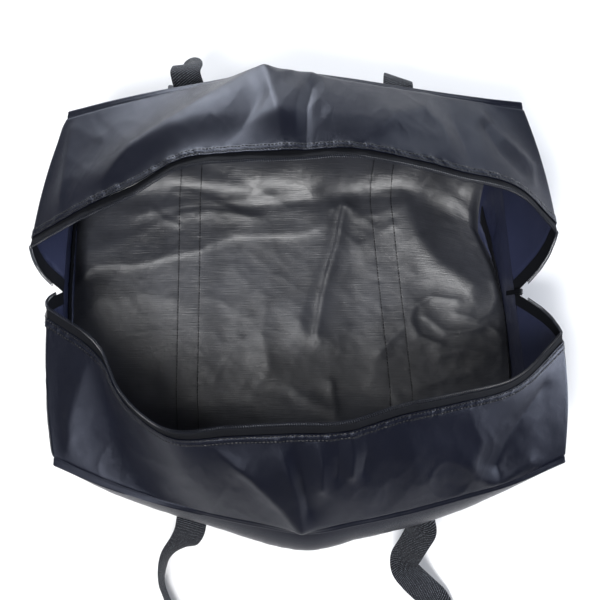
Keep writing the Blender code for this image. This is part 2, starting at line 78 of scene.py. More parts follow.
# How the open bag slumps, in metres
LEFT_END_BOW = 0.015
RIGHT_END_BOW = -0.005
RIGHT_FOOT_BOW = 0.022
SLIT_BELLY = 0.009
END_FOLD_BOW = 0.005
FLAP_PUFF = 0.008
WALL_START = 0.210
WALL_RISE = 0.240
LIFT_FADE = 0.035

# Shares: of the bag's length for the reach of a bow, of a wall's height for the rise over a webbing,
# of an end wall's width at a binding's ends, and of a turn of the body cloth at a webbing's ends
RIGHT_FOOT_REACH = 0.20
END_FOLD_REACH = 0.12
LIFT_RISE = 0.135
BINDING_END = 0.04
SEWN_STEP = 0.05

NEAR = -1
FAR = 1
LEFT = -1
RIGHT = 1

# Where the slit starts, as a share of an end's height, and the tape's width and the part of it under
# the hem, as shares from seam to zip
SLIT = 1 - ZIP_DROP / HEIGHT
TAPE = 2 * TAPE_WIDTH / WIDTH
TAPE_UNDER = 0.022

# The stage's camera, and the square on which it sees the bag: folds are placed on that square
CAMERA_PLACE = (0.0154, -0.201, 1.234)
CAMERA_TILT = math.radians(8.97)
CAMERA_LENS = 53.6
SENSOR = 36.0
SQUARE = 600

# The stage: a square floor under the bag, and its lights as (name, place, size, watts, colour)
FLOOR_HALF = 6.0
FLOOR_DROP = 0.0004
LIGHTS_AIM = (0, 0, 0.15)
WINDOW = (0.8, 0.7)
LIGHTS = (
    ("overhead_near", (-0.35, -0.98, 2.05), (0.5, 0.5), 46, (1, 1, 1)),
    ("overhead_left", (-1.00, 0.0, 2.0), WINDOW, 15, (1, 1, 1)),
    ("ceiling_fill", (0.0, -0.1, 2.4), (1.6, 1.4), 6, (1, 1, 1)),
    ("far_left_window", (-1.3, 1.9, 0.6), WINDOW, 18, (0.90, 0.94, 1.0)),
    ("far_window", (-0.6, 2.2, 0.55), WINDOW, 46, (0.90, 0.94, 1.0)),
    ("far_right_window", (1.2, 1.9, 0.6), WINDOW, 9, (0.85, 0.92, 1.0)),
    ("right_window", (2.2, 0.0, 0.6), WINDOW, 64, (0.88, 0.92, 1.0)),
)

# Fine cloth. A crumple is (height in metres, width of its cells, seed), coarse and then fine. Cells
# are counted on the square, and on an end wall in END_CELLS to the metre.
FOLD_CREST = 0.22
INSIDE_CRUMPLES = ((0.0006, 30, 11), (0.0004, 12, 12))
END_CRUMPLES = ((0.0016, 34, 31), (0.0005, 12, 33))
FLAP_CRUMPLES = ((0.0011, 38, 21), (0.0004, 13, 25))
END_CELLS = 700
STAND_ROUNDING = 0.0004

# The sewn hem, the seam and the rows of stitches, in metres: places from the edge, widths and heights
HEM_ROWS = (0.0022, 0.0080)
ROW_WIDTH = 0.0007
ROW_GROOVE = 0.0005
HEM_STEP = 0.0007
HEM_DEPTH = 0.0095
PUCKER_HEIGHT = 0.0015
PUCKER_MIDDLE = 0.0055
PUCKER_REACH = 0.0050
SEAM_ROLL = 0.0012
SEAM_ROLL_WIDTH = 0.0030
SEAM_GROOVE = 0.0010
SEAM_GROOVE_PLACE = 0.0080
SEAM_GROOVE_WIDTH = 0.0014
STITCH_CLEAR = 0.0038
GATHER_HEIGHT = 0.00030
GATHER_REACH = 0.0050
GATHER_CELL = 0.005
STITCH_DENT = 0.00008
STITCH_DENT_WIDTH = 0.0011

# The zip tape and the binding, in metres
TAPE_THICK = 0.0009
TAPE_DIP = 0.0013
TAPE_RIPPLE = 0.0004
TAPE_RIPPLE_CELL = 0.012
BINDING_RIPPLE = 0.0012
BINDING_LENGTH = 0.28

# Weaves, in threads or ribs to the metre, and the turn of the webbing's ribs
CLOTH_THREADS = 1100
WEBBING_RIBS = 420
WEBBING_CROSS_RIBS = 900
RIB_TURN = math.radians(28)
CROSS_RIB_TURN = math.radians(-62)
TAPE_RIBS = 1400

# Steps of the grids, with the closer columns beside a row of stitches in millimetres
BODY_STEPS = 196
WALK_STEPS = 420
STITCH_WALK_STEPS = 900
BINDING_STEPS = 150
STRAP_STEPS = 200
STRAP_STITCH_STEPS = 500
LOOP_STEPS = 260
COIL_RINGS = 10
SAME_SHARE = 1e-6
STITCH_COLUMNS = (-3.4, -2.0, -1.1, -0.5, 0, 0.5, 1.1, 2.0, 3.4)


def table(columns, rows):
    """Named columns of a short table, as a dictionary of arrays."""
    return dict(zip(columns.split(), np.array(rows, dtype=float).T))


# Each side at eleven even stations from left to right. x is in shares of LENGTH, y of WIDTH and z
# of HEIGHT. foot is the base's edge, seam the top of the wall, mouth the zip's edge, and swell says
# how far the wall leans out under its seam, in shares of WIDTH.
RIM_COLUMNS = "foot_x foot_y seam_x seam_y seam_z mouth_x mouth_y mouth_z swell"
RIM = {
    NEAR: table(RIM_COLUMNS, [
        (-0.500, -0.42, -0.444, -0.763, 0.731, -0.473, -0.156, 0.712, 0.05),
        (-0.400, -0.43, -0.344, -0.845, 0.738, -0.364, -0.306, 0.827, 0.30),
        (-0.300, -0.43, -0.245, -0.904, 0.746, -0.300, -0.506, 0.962, 0.45),
        (-0.200, -0.43, -0.148, -0.948, 0.754, -0.206, -0.637, 1.096, 0.60),
        (-0.100, -0.43, -0.051, -0.987, 0.765, -0.101, -0.629, 1.146, 0.80),
        (0.005, -0.43, 0.043, -1.012, 0.773, 0.003, -0.619, 1.154, 0.90),
        (0.112, -0.43, 0.138, -0.980, 0.765, 0.105, -0.612, 1.146, 0.80),
        (0.222, -0.43, 0.235, -0.940, 0.758, 0.206, -0.552, 1.108, 0.74),
        (0.324, -0.43, 0.332, -0.889, 0.754, 0.316, -0.507, 1.031, 0.64),
        (0.418, -0.43, 0.430, -0.833, 0.750, 0.430, -0.441, 0.915, 0.32),
        (0.505, -0.42, 0.529, -0.751, 0.750, 0.532, -0.264, 0.788, 0.05)]),
    FAR: table(RIM_COLUMNS, [
        (-0.500, 0.42, -0.448, 0.670, 0.692, -0.510, 0.099, 0.731, 0.05),
        (-0.400, 0.43, -0.359, 0.702, 0.731, -0.402, 0.182, 0.865, 0.15),
        (-0.300, 0.43, -0.264, 0.730, 0.769, -0.292, 0.247, 0.992, 0.20),
        (-0.200, 0.43, -0.165, 0.752, 0.808, -0.193, 0.327, 1.096, 0.20),
        (-0.100, 0.43, -0.074, 0.770, 0.846, -0.089, 0.338, 1.146, 0.20),
        (0.000, 0.43, 0.026, 0.771, 0.865, 0.013, 0.343, 1.154, 0.20),
        (0.092, 0.43, 0.115, 0.754, 0.854, 0.116, 0.357, 1.146, 0.20),
        (0.182, 0.43, 0.206, 0.736, 0.823, 0.222, 0.332, 1.108, 0.20),
        (0.280, 0.42, 0.294, 0.722, 0.785, 0.327, 0.299, 1.038, 0.20),
        (0.372, 0.37, 0.387, 0.713, 0.738, 0.443, 0.269, 0.923, 0.15),
        (0.445, 0.30, 0.479, 0.706, 0.700, 0.534, 0.152, 0.769, 0.05)]),
}

# Loops of webbing, from the left sewn end to the right one. x is in shares of STRAP_SPACING, y of
# WIDTH, and lift of HEIGHT, above a webbing that touches the floor. stand is the angle in degrees
# of its width from level, 90 on edge.
LOOP = {
    NEAR: table("x y lift stand", [
        (-0.418, -0.985, 0.425, 5), (-0.430, -1.035, 0.385, 14), (-0.454, -1.073, 0.321, 34),
        (-0.511, -1.120, 0.223, 62), (-0.552, -1.170, 0.137, 80), (-0.580, -1.235, 0.045, 88),
        (-0.585, -1.300, 0.000, 90), (-0.554, -1.370, 0.000, 90), (-0.470, -1.470, 0.000, 90),
        (-0.260, -1.550, 0.000, 86), (0.040, -1.580, 0.000, 70), (0.360, -1.560, 0.000, 45),
        (0.620, -1.500, 0.000, 20), (0.720, -1.420, 0.006, 6), (0.690, -1.358, 0.030, 4),
        (0.638, -1.311, 0.059, 6), (0.584, -1.263, 0.100, 10), (0.542, -1.215, 0.153, 14),
        (0.530, -1.167, 0.203, 20), (0.548, -1.119, 0.268, 24), (0.571, -1.072, 0.324, 20),
        (0.588, -1.028, 0.390, 12), (0.575, -0.985, 0.425, 4)]),
    FAR: table("x y lift stand", [
        (-0.444, 0.800, 0.650, 0), (-0.456, 0.845, 0.685, -4), (-0.450, 0.885, 0.660, -8),
        (-0.470, 0.915, 0.530, 4), (-0.510, 0.930, 0.330, 22), (-0.525, 0.940, 0.140, 50),
        (-0.460, 0.945, 0.010, 82), (-0.200, 0.935, 0.000, 90), (0.080, 0.930, 0.000, 90),
        (0.360, 0.935, 0.000, 86), (0.490, 0.930, 0.110, 54), (0.520, 0.905, 0.300, 22),
        (0.510, 0.872, 0.500, 8), (0.497, 0.834, 0.620, 2), (0.495, 0.800, 0.640, 0)]),
}

# Folds, as (rise in mm, reach to the left and to the right of the path on the square, path).
# Inside the bag a rise stands up into the room. Seen along its path, left is to the left hand.
INSIDE_FOLDS = [
    (5.0, 30, 9, ((140, 214), (190, 203), (250, 200), (310, 190))),
    (2.2, 20, 4, ((78, 280), (95, 266), (118, 264), (135, 265), (153, 261), (166, 257), (199, 250),
                   (217, 242), (236, 235), (265, 235), (300, 235), (321, 227))),
    (2.4, 12, 16, ((80, 256), (130, 238), (170, 219), (200, 216), (250, 219), (300, 210))),
    (1.6, 4, 7, ((176, 190), (199, 195), (222, 207), (249, 217))),
    (1.3, 3, 4, ((150, 206), (164, 220), (178, 224))),
    (1.4, 3, 5, ((180, 214), (206, 211), (232, 214), (258, 218))),
    (4.0, 18, 12, ((205, 166), (240, 176), (272, 198))),
    (2.5, 14, 14, ((300, 175), (312, 196), (310, 214))),
    (5.5, 14, 30, ((329, 214), (323, 244), (311, 280), (301, 310), (298, 328))),
    (5.0, 11, 2.6, ((344, 208), (341, 224), (338, 242), (330, 267), (323, 294), (319, 318), (316, 334))),
    (2.6, 4, 5, ((333, 210), (343, 205), (352, 211))),
    (2.4, 10, 14, ((360, 246), (378, 236), (392, 226))),
    (1.8, 8, 10, ((358, 220), (376, 216), (394, 211))),
    (15.0, 30, 24, ((470, 286), (438, 266), (415, 238), (403, 204))),
    (7.0, 12, 30, ((422, 168), (446, 192), (468, 212), (490, 234), (504, 262))),
    (2.2, 3, 5, ((456, 302), (430, 298), (414, 306), (410, 320), (418, 336), (440, 345))),
    (2.2, 5, 3, ((424, 317), (445, 333), (469, 331), (486, 326), (498, 334))),
    (2.2, 5, 3, ((455, 315), (476, 321), (490, 312), (495, 299), (493, 284))),
    (3.0, 10, 8, ((380, 352), (392, 338), (404, 326))),
    (1.7, 13, 5, ((256, 361), (280, 381), (299, 396), (328, 411))),
    (2.4, 12, 8, ((266, 306), (262, 336), (270, 366))),
    (2.6, 10, 10, ((300, 322), (308, 338), (326, 343), (345, 330))),
    (1.8, 2.5, 6, ((331, 382), (334, 400), (336, 416))),
    (1.4, 5, 6, ((215, 378), (228, 356), (241, 339))),
    (1.2, 4, 5, ((122, 338), (142, 333), (162, 331))),
    (1.8, 12, 12, ((196, 392), (240, 392), (286, 404))),
    (2.0, 14, 14, ((100, 300), (150, 296), (172, 300))),
    (2.0, 9, 12, ((400, 400), (430, 384), (470, 372))),
    (3.2, 9, 12, ((440, 356), (462, 350), (484, 356))),
]

# Folds of the flaps. Outside, a rise stands out from the cloth.
FLAP_FOLDS = {
    FAR: [
        (18.0, 44, 15, ((258, 80), (214, 106), (172, 132), (138, 154), (112, 180))),
        (-7.0, 10, 38, ((260, 104), (240, 132), (214, 152), (180, 176))),
        (5.0, 16, 10, ((266, 76), (272, 100), (280, 126), (284, 148))),
        (4.0, 7, 14, ((313, 74), (308, 88), (299, 100), (295, 120), (297, 146))),
        (-4.5, 6, 10, ((311, 92), (306, 112), (306, 146))),
        (1.6, 4, 5, ((264, 79), (278, 84), (292, 80))),
        (5.0, 20, 14, ((368, 142), (392, 118), (424, 112), (442, 126), (450, 154))),
        (-4.0, 10, 14, ((452, 122), (464, 146), (470, 166))),
        (4.5, 6, 20, ((482, 118), (506, 142), (532, 167), (532, 184))),
        (-5.0, 16, 8, ((486, 130), (500, 152), (524, 176))),
        (3.0, 7, 9, ((70, 130), (66, 170), (62, 205))),
        (1.8, 5, 7, ((380, 152), (396, 148), (420, 156))),
        (1.5, 5, 6, ((428, 162), (440, 152), (462, 168))),
    ],
    NEAR: [
        (6.0, 16, 18, ((92, 356), (80, 392), (70, 424), (69, 446))),
        (-4.0, 20, 24, ((130, 390), (136, 430), (150, 470))),
        (6.5, 15, 9, ((216, 448), (250, 474), (284, 506), (302, 527))),
        (5.0, 8, 14, ((278, 442), (288, 470), (298, 500), (303, 530))),
        (-4.5, 8, 8, ((296, 444), (303, 476), (308, 508))),
        (3.5, 6, 7, ((318, 436), (322, 462), (322, 488))),
        (-3.0, 5, 5, ((336, 432), (339, 456), (338, 476))),
        (3.5, 6, 7, ((350, 430), (354, 452), (352, 474))),
        (-3.0, 5, 6, ((364, 426), (368, 450), (364, 472))),
        (4.0, 18, 18, ((400, 420), (412, 448), (420, 480))),
        (-5.0, 9, 9, ((546, 386), (526, 414), (508, 444), (498, 466))),
        (4.5, 10, 12, ((468, 462), (478, 478), (500, 482), (528, 462))),
        (3.0, 12, 12, ((470, 412), (480, 440), (472, 462))),
    ],
}


def cubic(start, leave, end, arrive, f):
    """Cubic from start to end that leaves and arrives with given slopes, at a share f of the way."""
    return ((1 + 2 * f) * (1 - f) ** 2 * start + f * (1 - f) ** 2 * leave
            + f * f * (3 - 2 * f) * end + f * f * (f - 1) * arrive)


def smooth(values, share):
    """Cubic curve through evenly spaced values, with the slope at each from its two neighbours."""
    spans = len(values) - 1
    place = np.clip(np.asarray(share, dtype=float), 0.0, 1.0) * spans
    index = np.minimum(place.astype(int), spans - 1)
    slope = np.gradient(values)
    return cubic(values[index], slope[index], values[index + 1], slope[index + 1], place - index)


def unit(vectors):
    """Vectors of length one in the same directions: each divided by its own length."""
    return vectors / np.linalg.norm(vectors, axis=-1, keepdims=True)


def lengths_along(path):
    """Length from a path's first point to each of its points, by straight runs."""
    return np.append(0, np.cumsum(np.linalg.norm(np.diff(path, axis=0), axis=1)))


def bell(distance, width):
    """1 at no distance, falling to either side as exp of minus the square of distance / width."""
    return np.exp(-(distance / width) ** 2)


def ease(value, low, high):
    """0 below low, 1 above high, and a smooth cubic step between them."""
    share = np.clip((value - low) / (high - low), 0, 1)
    return share * share * (3 - 2 * share)


def rim_point(side, edge, along):
    """A point of the foot, seam or mouth of one side, at a share of the way from left to right."""
    rim = RIM[side]
    x = smooth(rim[edge + "_x"], along) * LENGTH
    y = smooth(rim[edge + "_y"], along) * WIDTH
    z = smooth(rim[edge + "_z"], along) * HEIGHT if edge != "foot" else np.full_like(x, CLOTH / 2)
    return np.stack((x, y, z), axis=-1)


def between(start, end, share):
    """The point that lies at a share of the way from one point to another."""
    return start + (end - start) * np.asarray(share)[..., None]


def strap_lift(along):
    """How far the base rises over the webbing that runs under it."""
    off = np.abs(np.abs(along - 0.5) * LENGTH - STRAP_SPACING / 2) - WEB_WIDTH / 2
    return (WEB_THICK + GAP) * (1 - ease(off, 0, LIFT_FADE))


def wall_point(side, along, up):
    """The wall: a cubic that leaves the base level and outwards and meets the seam from below."""
    foot = rim_point(side, "foot", along)
    seam = rim_point(side, "seam", along)
    nothing = np.zeros_like(along)
    leave = np.stack((nothing, nothing + side * WALL_START, nothing), axis=-1)
    swell = smooth(RIM[side]["swell"], along) * WIDTH
    arrive = np.stack((nothing, -side * swell, nothing + WALL_RISE), axis=-1)
    point = cubic(foot, leave, seam, arrive, up[..., None])
    point[..., 2] += strap_lift(along) * np.clip(1 - up / LIFT_RISE, 0, 1)
    return point


def base_point(along, across):
    """The base: level between the two feet, and lifted where the webbing passes."""
    point = between(rim_point(NEAR, "foot", along), rim_point(FAR, "foot", along), across)
    end = np.clip(1 - (1 - along) / RIGHT_FOOT_REACH, 0, 1)
    point[..., 0] += RIGHT_FOOT_BOW * end * np.sin(math.pi * across)
    point[..., 2] += strap_lift(along)
    return point


def body_point(along, turn):
    """The body cloth: down the far wall (turn 0 to 1), over the base (to 2), up the near wall (to 3)."""
    along, turn = np.broadcast_arrays(np.asarray(along, dtype=float), np.asarray(turn, dtype=float))
    far = wall_point(FAR, along, np.clip(1 - turn, 0, 1))
    base = base_point(along, np.clip(2 - turn, 0, 1))
    near = wall_point(NEAR, along, np.clip(turn - 2, 0, 1))
    turn = turn[..., None]
    return np.where(turn < 1, far, np.where(turn <= 2, base, near))


def flap_point(side, along, out):
    """The top flap, from the seam (out 0) to the zip's edge (out 1)."""
    point = between(rim_point(side, "seam", along), rim_point(side, "mouth", along), out)
    puff = FLAP_PUFF * np.sin(math.pi * along) * np.sin(math.pi * out)
    point[..., 1] += side * 0.6 * puff
    point[..., 2] += 0.8 * puff
    end = np.clip(1 - along / END_FOLD_REACH, 0, 1) - np.clip(1 - (1 - along) / END_FOLD_REACH, 0, 1)
    point[..., 0] -= end * END_FOLD_BOW * np.sin(math.pi * out)
    return point


def end_bow(end, up):
    """How far the middle of an end wall bows out from between its corners, in X."""
    if end == LEFT:
        return -LEFT_END_BOW * np.sin(math.pi * up)
    return RIGHT_END_BOW * np.sin(math.pi * up) + RIGHT_FOOT_BOW * (1 - up) ** 2


def end_point(end, up, across):
    """The end wall under the slit, between the two corner seams."""
    up, across = np.broadcast_arrays(np.asarray(up, dtype=float), np.asarray(across, dtype=float))
    along = np.full(up.shape, 0.0 if end == LEFT else 1.0)
    point = between(wall_point(NEAR, along, up), wall_point(FAR, along, up), across)
    point[..., 0] += end_bow(end, up) * np.sin(math.pi * across)
    return point


def half_end_point(end, side, up, out):
    """Half of an end wall beside the slit, from the corner seam (out 0) to the zip's edge (out 1)."""
    along = np.full(up.shape, 0.0 if end == LEFT else 1.0)
    corner = wall_point(side, along, up)
    slit_end = end_point(end, np.full_like(up, SLIT), np.full_like(up, 0.5))
    lobe = rim_point(side, "mouth", along)
    rise = (up - SLIT) / (1 - SLIT)
    edge = between(slit_end, lobe, rise)
    edge[..., 0] += end * SLIT_BELLY * np.sin(math.pi * rise)
    point = between(corner, edge, out)
    point[..., 0] += end_bow(end, up) * (np.sin(math.pi * out / 2) - out)
    point[..., 0] += end * END_FOLD_BOW * rise * np.sin(math.pi * out)
    return point


def side_point(side, walk, out):
    """One side's top cloth: up the left end (walk -1 to 0), along the flap, down the right end (to 2)."""
    walk, out = np.broadcast_arrays(np.asarray(walk, dtype=float), np.asarray(out, dtype=float))
    left = half_end_point(LEFT, side, SLIT + (1 - SLIT) * np.clip(walk + 1, 0, 1), out)
    top = flap_point(side, np.clip(walk, 0, 1), out)
    right = half_end_point(RIGHT, side, 1 - (1 - SLIT) * np.clip(walk - 1, 0, 1), out)
    walk = walk[..., None]
    return np.where(walk < 0, left, np.where(walk <= 1, top, right))


def walked(walk):
    """Metres along the zip from the left flap corner, at a place of a side's walk."""
    end = math.hypot(ZIP_DROP, LEFT_END_BOW)
    return end * np.clip(walk, -1, 0) + LENGTH * np.clip(walk, 0, 1) + end * np.clip(walk - 1, 0, 1)


def on_square(points):
    """Where the stage's camera sees points: turned to its tilt, divided by depth, counted on the square."""
    away = points - np.array(CAMERA_PLACE)
    cosine, sine = math.cos(CAMERA_TILT), math.sin(CAMERA_TILT)
    depth = away[..., 1] * sine - away[..., 2] * cosine
    rise = away[..., 1] * cosine + away[..., 2] * sine
    focus = SQUARE * CAMERA_LENS / SENSOR
    return np.stack((SQUARE / 2 + focus * away[..., 0] / depth, SQUARE / 2 - focus * rise / depth), axis=-1)


def fold_height(place, folds):
    """Sum of folds in metres: each falls off from its path as exp(-distance / reach), with a round crest."""
    total = np.zeros(place.shape[:-1])
    for rise, left, right, path in folds:
        path = np.array(path, dtype=float)
        nearest = np.full(total.shape, np.inf)
        hand = np.zeros(total.shape)
        for start, end in zip(path[:-1], path[1:]):
            run = end - start
            off = place - start
            share = np.clip((off @ run) / (run @ run), 0, 1)
            away = np.linalg.norm(off - share[..., None] * run, axis=-1)
            turned = (run[0] * off[..., 1] - run[1] * off[..., 0]) / np.linalg.norm(run)
            closer = away < nearest
            nearest = np.where(closer, away, nearest)
            hand = np.where(closer, turned / (away + 0.5), hand)
        reach = left + (right - left) * (0.5 + 0.5 * np.clip(hand, -1, 1))
        total += rise / 1000 * np.exp(FOLD_CREST - np.sqrt(FOLD_CREST ** 2 + (nearest / reach) ** 2))
    return total


def lattice_noise(a, b, seed):
    """Smooth random heights from -1 to 1, eased between the whole numbers of a and b."""
    values = np.random.default_rng(seed).uniform(-1, 1, (64, 64))
    ia, ib = np.floor(a).astype(int), np.floor(b).astype(int)
    fa, fb = a - ia, b - ib
    fa, fb = fa * fa * (3 - 2 * fa), fb * fb * (3 - 2 * fb)
    low = values[ia % 64, ib % 64] * (1 - fa) + values[(ia + 1) % 64, ib % 64] * fa
    high = values[ia % 64, (ib + 1) % 64] * (1 - fa) + values[(ia + 1) % 64, (ib + 1) % 64] * fa
    return low * (1 - fb) + high * fb


def crumple(place, cell, seed):
    """Sharp random ridges: one less the size of two turned lattices' noise, on cells of a given width."""
    turned = np.stack((0.8 * place[..., 0] + 0.6 * place[..., 1], 0.8 * place[..., 1] - 0.6 * place[..., 0]))
    first = 1 - 2 * np.abs(lattice_noise(turned[0] / cell, turned[1] / cell, seed))
    second = lattice_noise(place[..., 0] / cell / 0.6, place[..., 1] / cell / 0.6, seed + 1)
    return 0.6 * first * np.abs(first) + 0.4 * second


def crumples(place, rows, onward=0):
    """A table's crumples added up, each with its seed moved onward."""
    return sum(height * crumple(place, cell, seed + onward) for height, cell, seed in rows)


def stitch_draw(along, turn):
    """How far the rows of stitches pull the cloth onto the webbing, with small puckers beside them."""
    beside = np.abs(np.abs(np.abs(along - 0.5) * LENGTH - STRAP_SPACING / 2) - SEWN_APART / 2)
    length = turn * HEIGHT
    gathers = lattice_noise(length / GATHER_CELL, np.round(along * 4), 71) * bell(beside, GATHER_REACH)
    low, high = strap_turns()
    sewn = ease(turn, low, low + SEWN_STEP) * ease(high - turn, 0, SEWN_STEP)
    return (STITCH_DENT * bell(beside, STITCH_DENT_WIDTH) + GATHER_HEIGHT * gathers) * sewn


def strap_turns():
    """Where the sewn webbing starts on the far wall and ends on the near wall, as turns of the body."""
    return 1 - SEWN_FAR / HEIGHT, 2 + SEWN_NEAR / HEIGHT


def body_height(along, turn, plain):
    """Folds of the body cloth, in metres out of the bag. On the base they only stand up, into the room."""
    place = on_square(plain)
    inside = fold_height(place, INSIDE_FOLDS) + crumples(place, INSIDE_CRUMPLES)
    seam = ease(turn, 0, 0.16) * ease(3 - turn, 0, 0.16)
    ends = ease(along, 0, 0.03) * ease(1 - along, 0, 0.03)
    floor = ease(turn, 0.80, 0.98) * ease(3 - turn, 0.80, 0.98)
    standing = 0.5 * (inside + np.sqrt(inside ** 2 + STAND_ROUNDING ** 2))
    inside = inside * (1 - floor) + standing * floor
    return -inside * seam * ends + stitch_draw(along, turn)


def end_height(end):
    """A function that gives an end wall's fine crumple, in metres out of the bag."""
    def height(up, across, plain):
        sides = ease(across, 0, 0.08) * ease(1 - across, 0, 0.08)
        fade = ease(up, 0, 0.1) * ease(SLIT - up, 0, 0.08) * sides
        return crumples(plain[..., 1:] * END_CELLS, END_CRUMPLES, end) * fade
    return height


def puckers(distance, seed):
    """Short ridges across a sewn edge: random heights every few millimetres, strong in some stretches."""
    near = lattice_noise(distance / 0.0034, distance * 0, seed)
    wide = lattice_noise(distance / 0.0110, distance * 0, seed + 1)
    strength = 0.55 + 0.45 * lattice_noise(distance / 0.09, distance * 0, seed + 2)
    return (0.7 * near + 0.5 * wide) * strength


def flap_height(side):
    """A function that gives the folds, seam roll and sewn hem of one side's top cloth."""
    def height(walk, out, plain):
        place = on_square(plain)
        folds = fold_height(place, FLAP_FOLDS[side]) + crumples(place, FLAP_CRUMPLES, side)
        from_seam = out * WIDTH / 2
        from_hem = (1 - TAPE - out) * WIDTH / 2
        fade = ease(out, 0, 0.10) * (0.25 + 0.75 * ease(1 - out, 0.10, 0.42))
        corner = ease(np.abs(walk), 0, 0.05) * ease(np.abs(1 - walk), 0, 0.05)
        low = ease(walk + 1, 0, 0.25) * ease(2 - walk, 0, 0.25)
        hem = HEM_STEP * ease(HEM_DEPTH - from_hem, 0, 0.0012)
        sewn = bell(from_hem - PUCKER_MIDDLE, PUCKER_REACH)
        rows = sum(bell(from_hem - row, ROW_WIDTH) for row in HEM_ROWS)
        roll = (SEAM_ROLL * bell(from_seam, SEAM_ROLL_WIDTH)
                - SEAM_GROOVE * bell(from_seam - SEAM_GROOVE_PLACE, SEAM_GROOVE_WIDTH))
        distance = walked(walk) + 0.3 * from_hem
        return (folds * fade * corner * low + hem + PUCKER_HEIGHT * puckers(distance, 41 + side) * sewn
                - ROW_GROOVE * rows + roll * ease(out, 0, 0.004) * low)
    return height


def grid_normals(grid):
    """Unit normals of a grid of points, square to its steps along both ways."""
    normal = np.cross(np.gradient(grid, axis=0), np.gradient(grid, axis=1))
    return normal / np.maximum(np.linalg.norm(normal, axis=-1, keepdims=True), 1e-12)


def surface(shape, height, first, second):
    """Points and outward normals on a grid of a shape that moves along its normal by its folds' height."""
    first, second = np.broadcast_arrays(first[:, None], second[None])
    plain = shape(first, second)
    moved = plain + grid_normals(plain) * height(first, second, plain)[..., None]
    return moved, grid_normals(moved)


def metres_across(grid):
    """A pattern map in metres: lengths along the grid's middle lines."""
    rows, columns = grid.shape[:2]
    u = lengths_along(grid[:, columns // 2])
    v = lengths_along(grid[rows // 2])
    return np.stack(np.broadcast_arrays(u[:, None], v[None]), axis=-1)


def shell(outer, inner):
    """Closed solid between two grids: vertices, quads, and 1 for each quad of the inner face."""
    rows, columns = outer.shape[:2]
    count = rows * columns
    points = np.concatenate((outer.reshape(-1, 3), inner.reshape(-1, 3)))
    number = np.arange(count).reshape(rows, columns)
    corners = (number[:-1, :-1], number[1:, :-1], number[1:, 1:], number[:-1, 1:])
    quads = np.stack(corners, axis=-1).reshape(-1, 4)
    loop = np.concatenate((number[0, :-1], number[:-1, -1], number[-1, :0:-1], number[:0:-1, 0]))
    after = np.roll(loop, -1)
    rim = np.stack((loop, after, after + count, loop + count), axis=-1)
    faces = np.concatenate((quads, quads[:, ::-1] + count, rim))
    inside = np.concatenate((np.zeros(len(quads)), np.ones(len(quads)), np.zeros(len(rim)))).astype(int)
    return points, faces, inside


def tube(rings):
    """Quads round rings of points, carried from ring to ring, with a strip of quads over each end."""
    rows, sides = rings.shape[:2]
    number = np.arange(rows * sides).reshape(rows, sides)
    ahead = np.roll(number, -1, axis=1)
    faces = [np.stack((number[:-1], ahead[:-1], ahead[1:], number[1:]), axis=-1).reshape(-1, 4)]
    half = np.arange(sides // 2 - 1)
    for ring, turn in ((number[0], -1), (number[-1], 1)):
        cap = np.stack((ring[half], ring[half + 1], ring[-half - 2], ring[-half - 1]), axis=-1)
        faces.append(cap[:, ::turn])
    return rings.reshape(-1, 3), np.concatenate(faces)


def new_piece(name, points, faces, materials, slot, replaced=(), chart=None, kinds=None):
    """A mesh piece at the origin that rides on the bag, with its pattern map and material numbers."""
    mesh = bpy.data.meshes.new(name)
    mesh.from_pydata(points.tolist(), [], faces.tolist())
    if chart is not None:
        layer = mesh.uv_layers.new(name="UVMap")
        layer.data.foreach_set("uv", chart.reshape(-1, 2)[faces.ravel()].astype(np.float32).ravel())
    if kinds is not None:
        mesh.polygons.foreach_set("material_index", kinds.astype(np.int32))
    mesh.shade_smooth()
    mesh.set_sharp_from_angle(angle=math.radians(60))
    mesh.update()
    piece = bpy.data.objects.new(name, mesh)
    bpy.context.scene.collection.objects.link(piece)
    for made in materials:
        mesh.materials.append(made)
    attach(piece, "root")
    if replaced:
        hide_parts(*replaced)
    return piece


def cloth_piece(name, grid, normals, thickness, outside, lining, slot, replaced):
    """A cloth wall: a shell half its thickness to each side of the grid, with its two faces' finishes."""
    half = normals * thickness / 2
    points, faces, inside = shell(grid + half, grid - half)
    chart = np.concatenate([metres_across(grid).reshape(-1, 2)] * 2)
    return new_piece(name, points, faces, (outside, lining), slot, replaced, chart, inside)


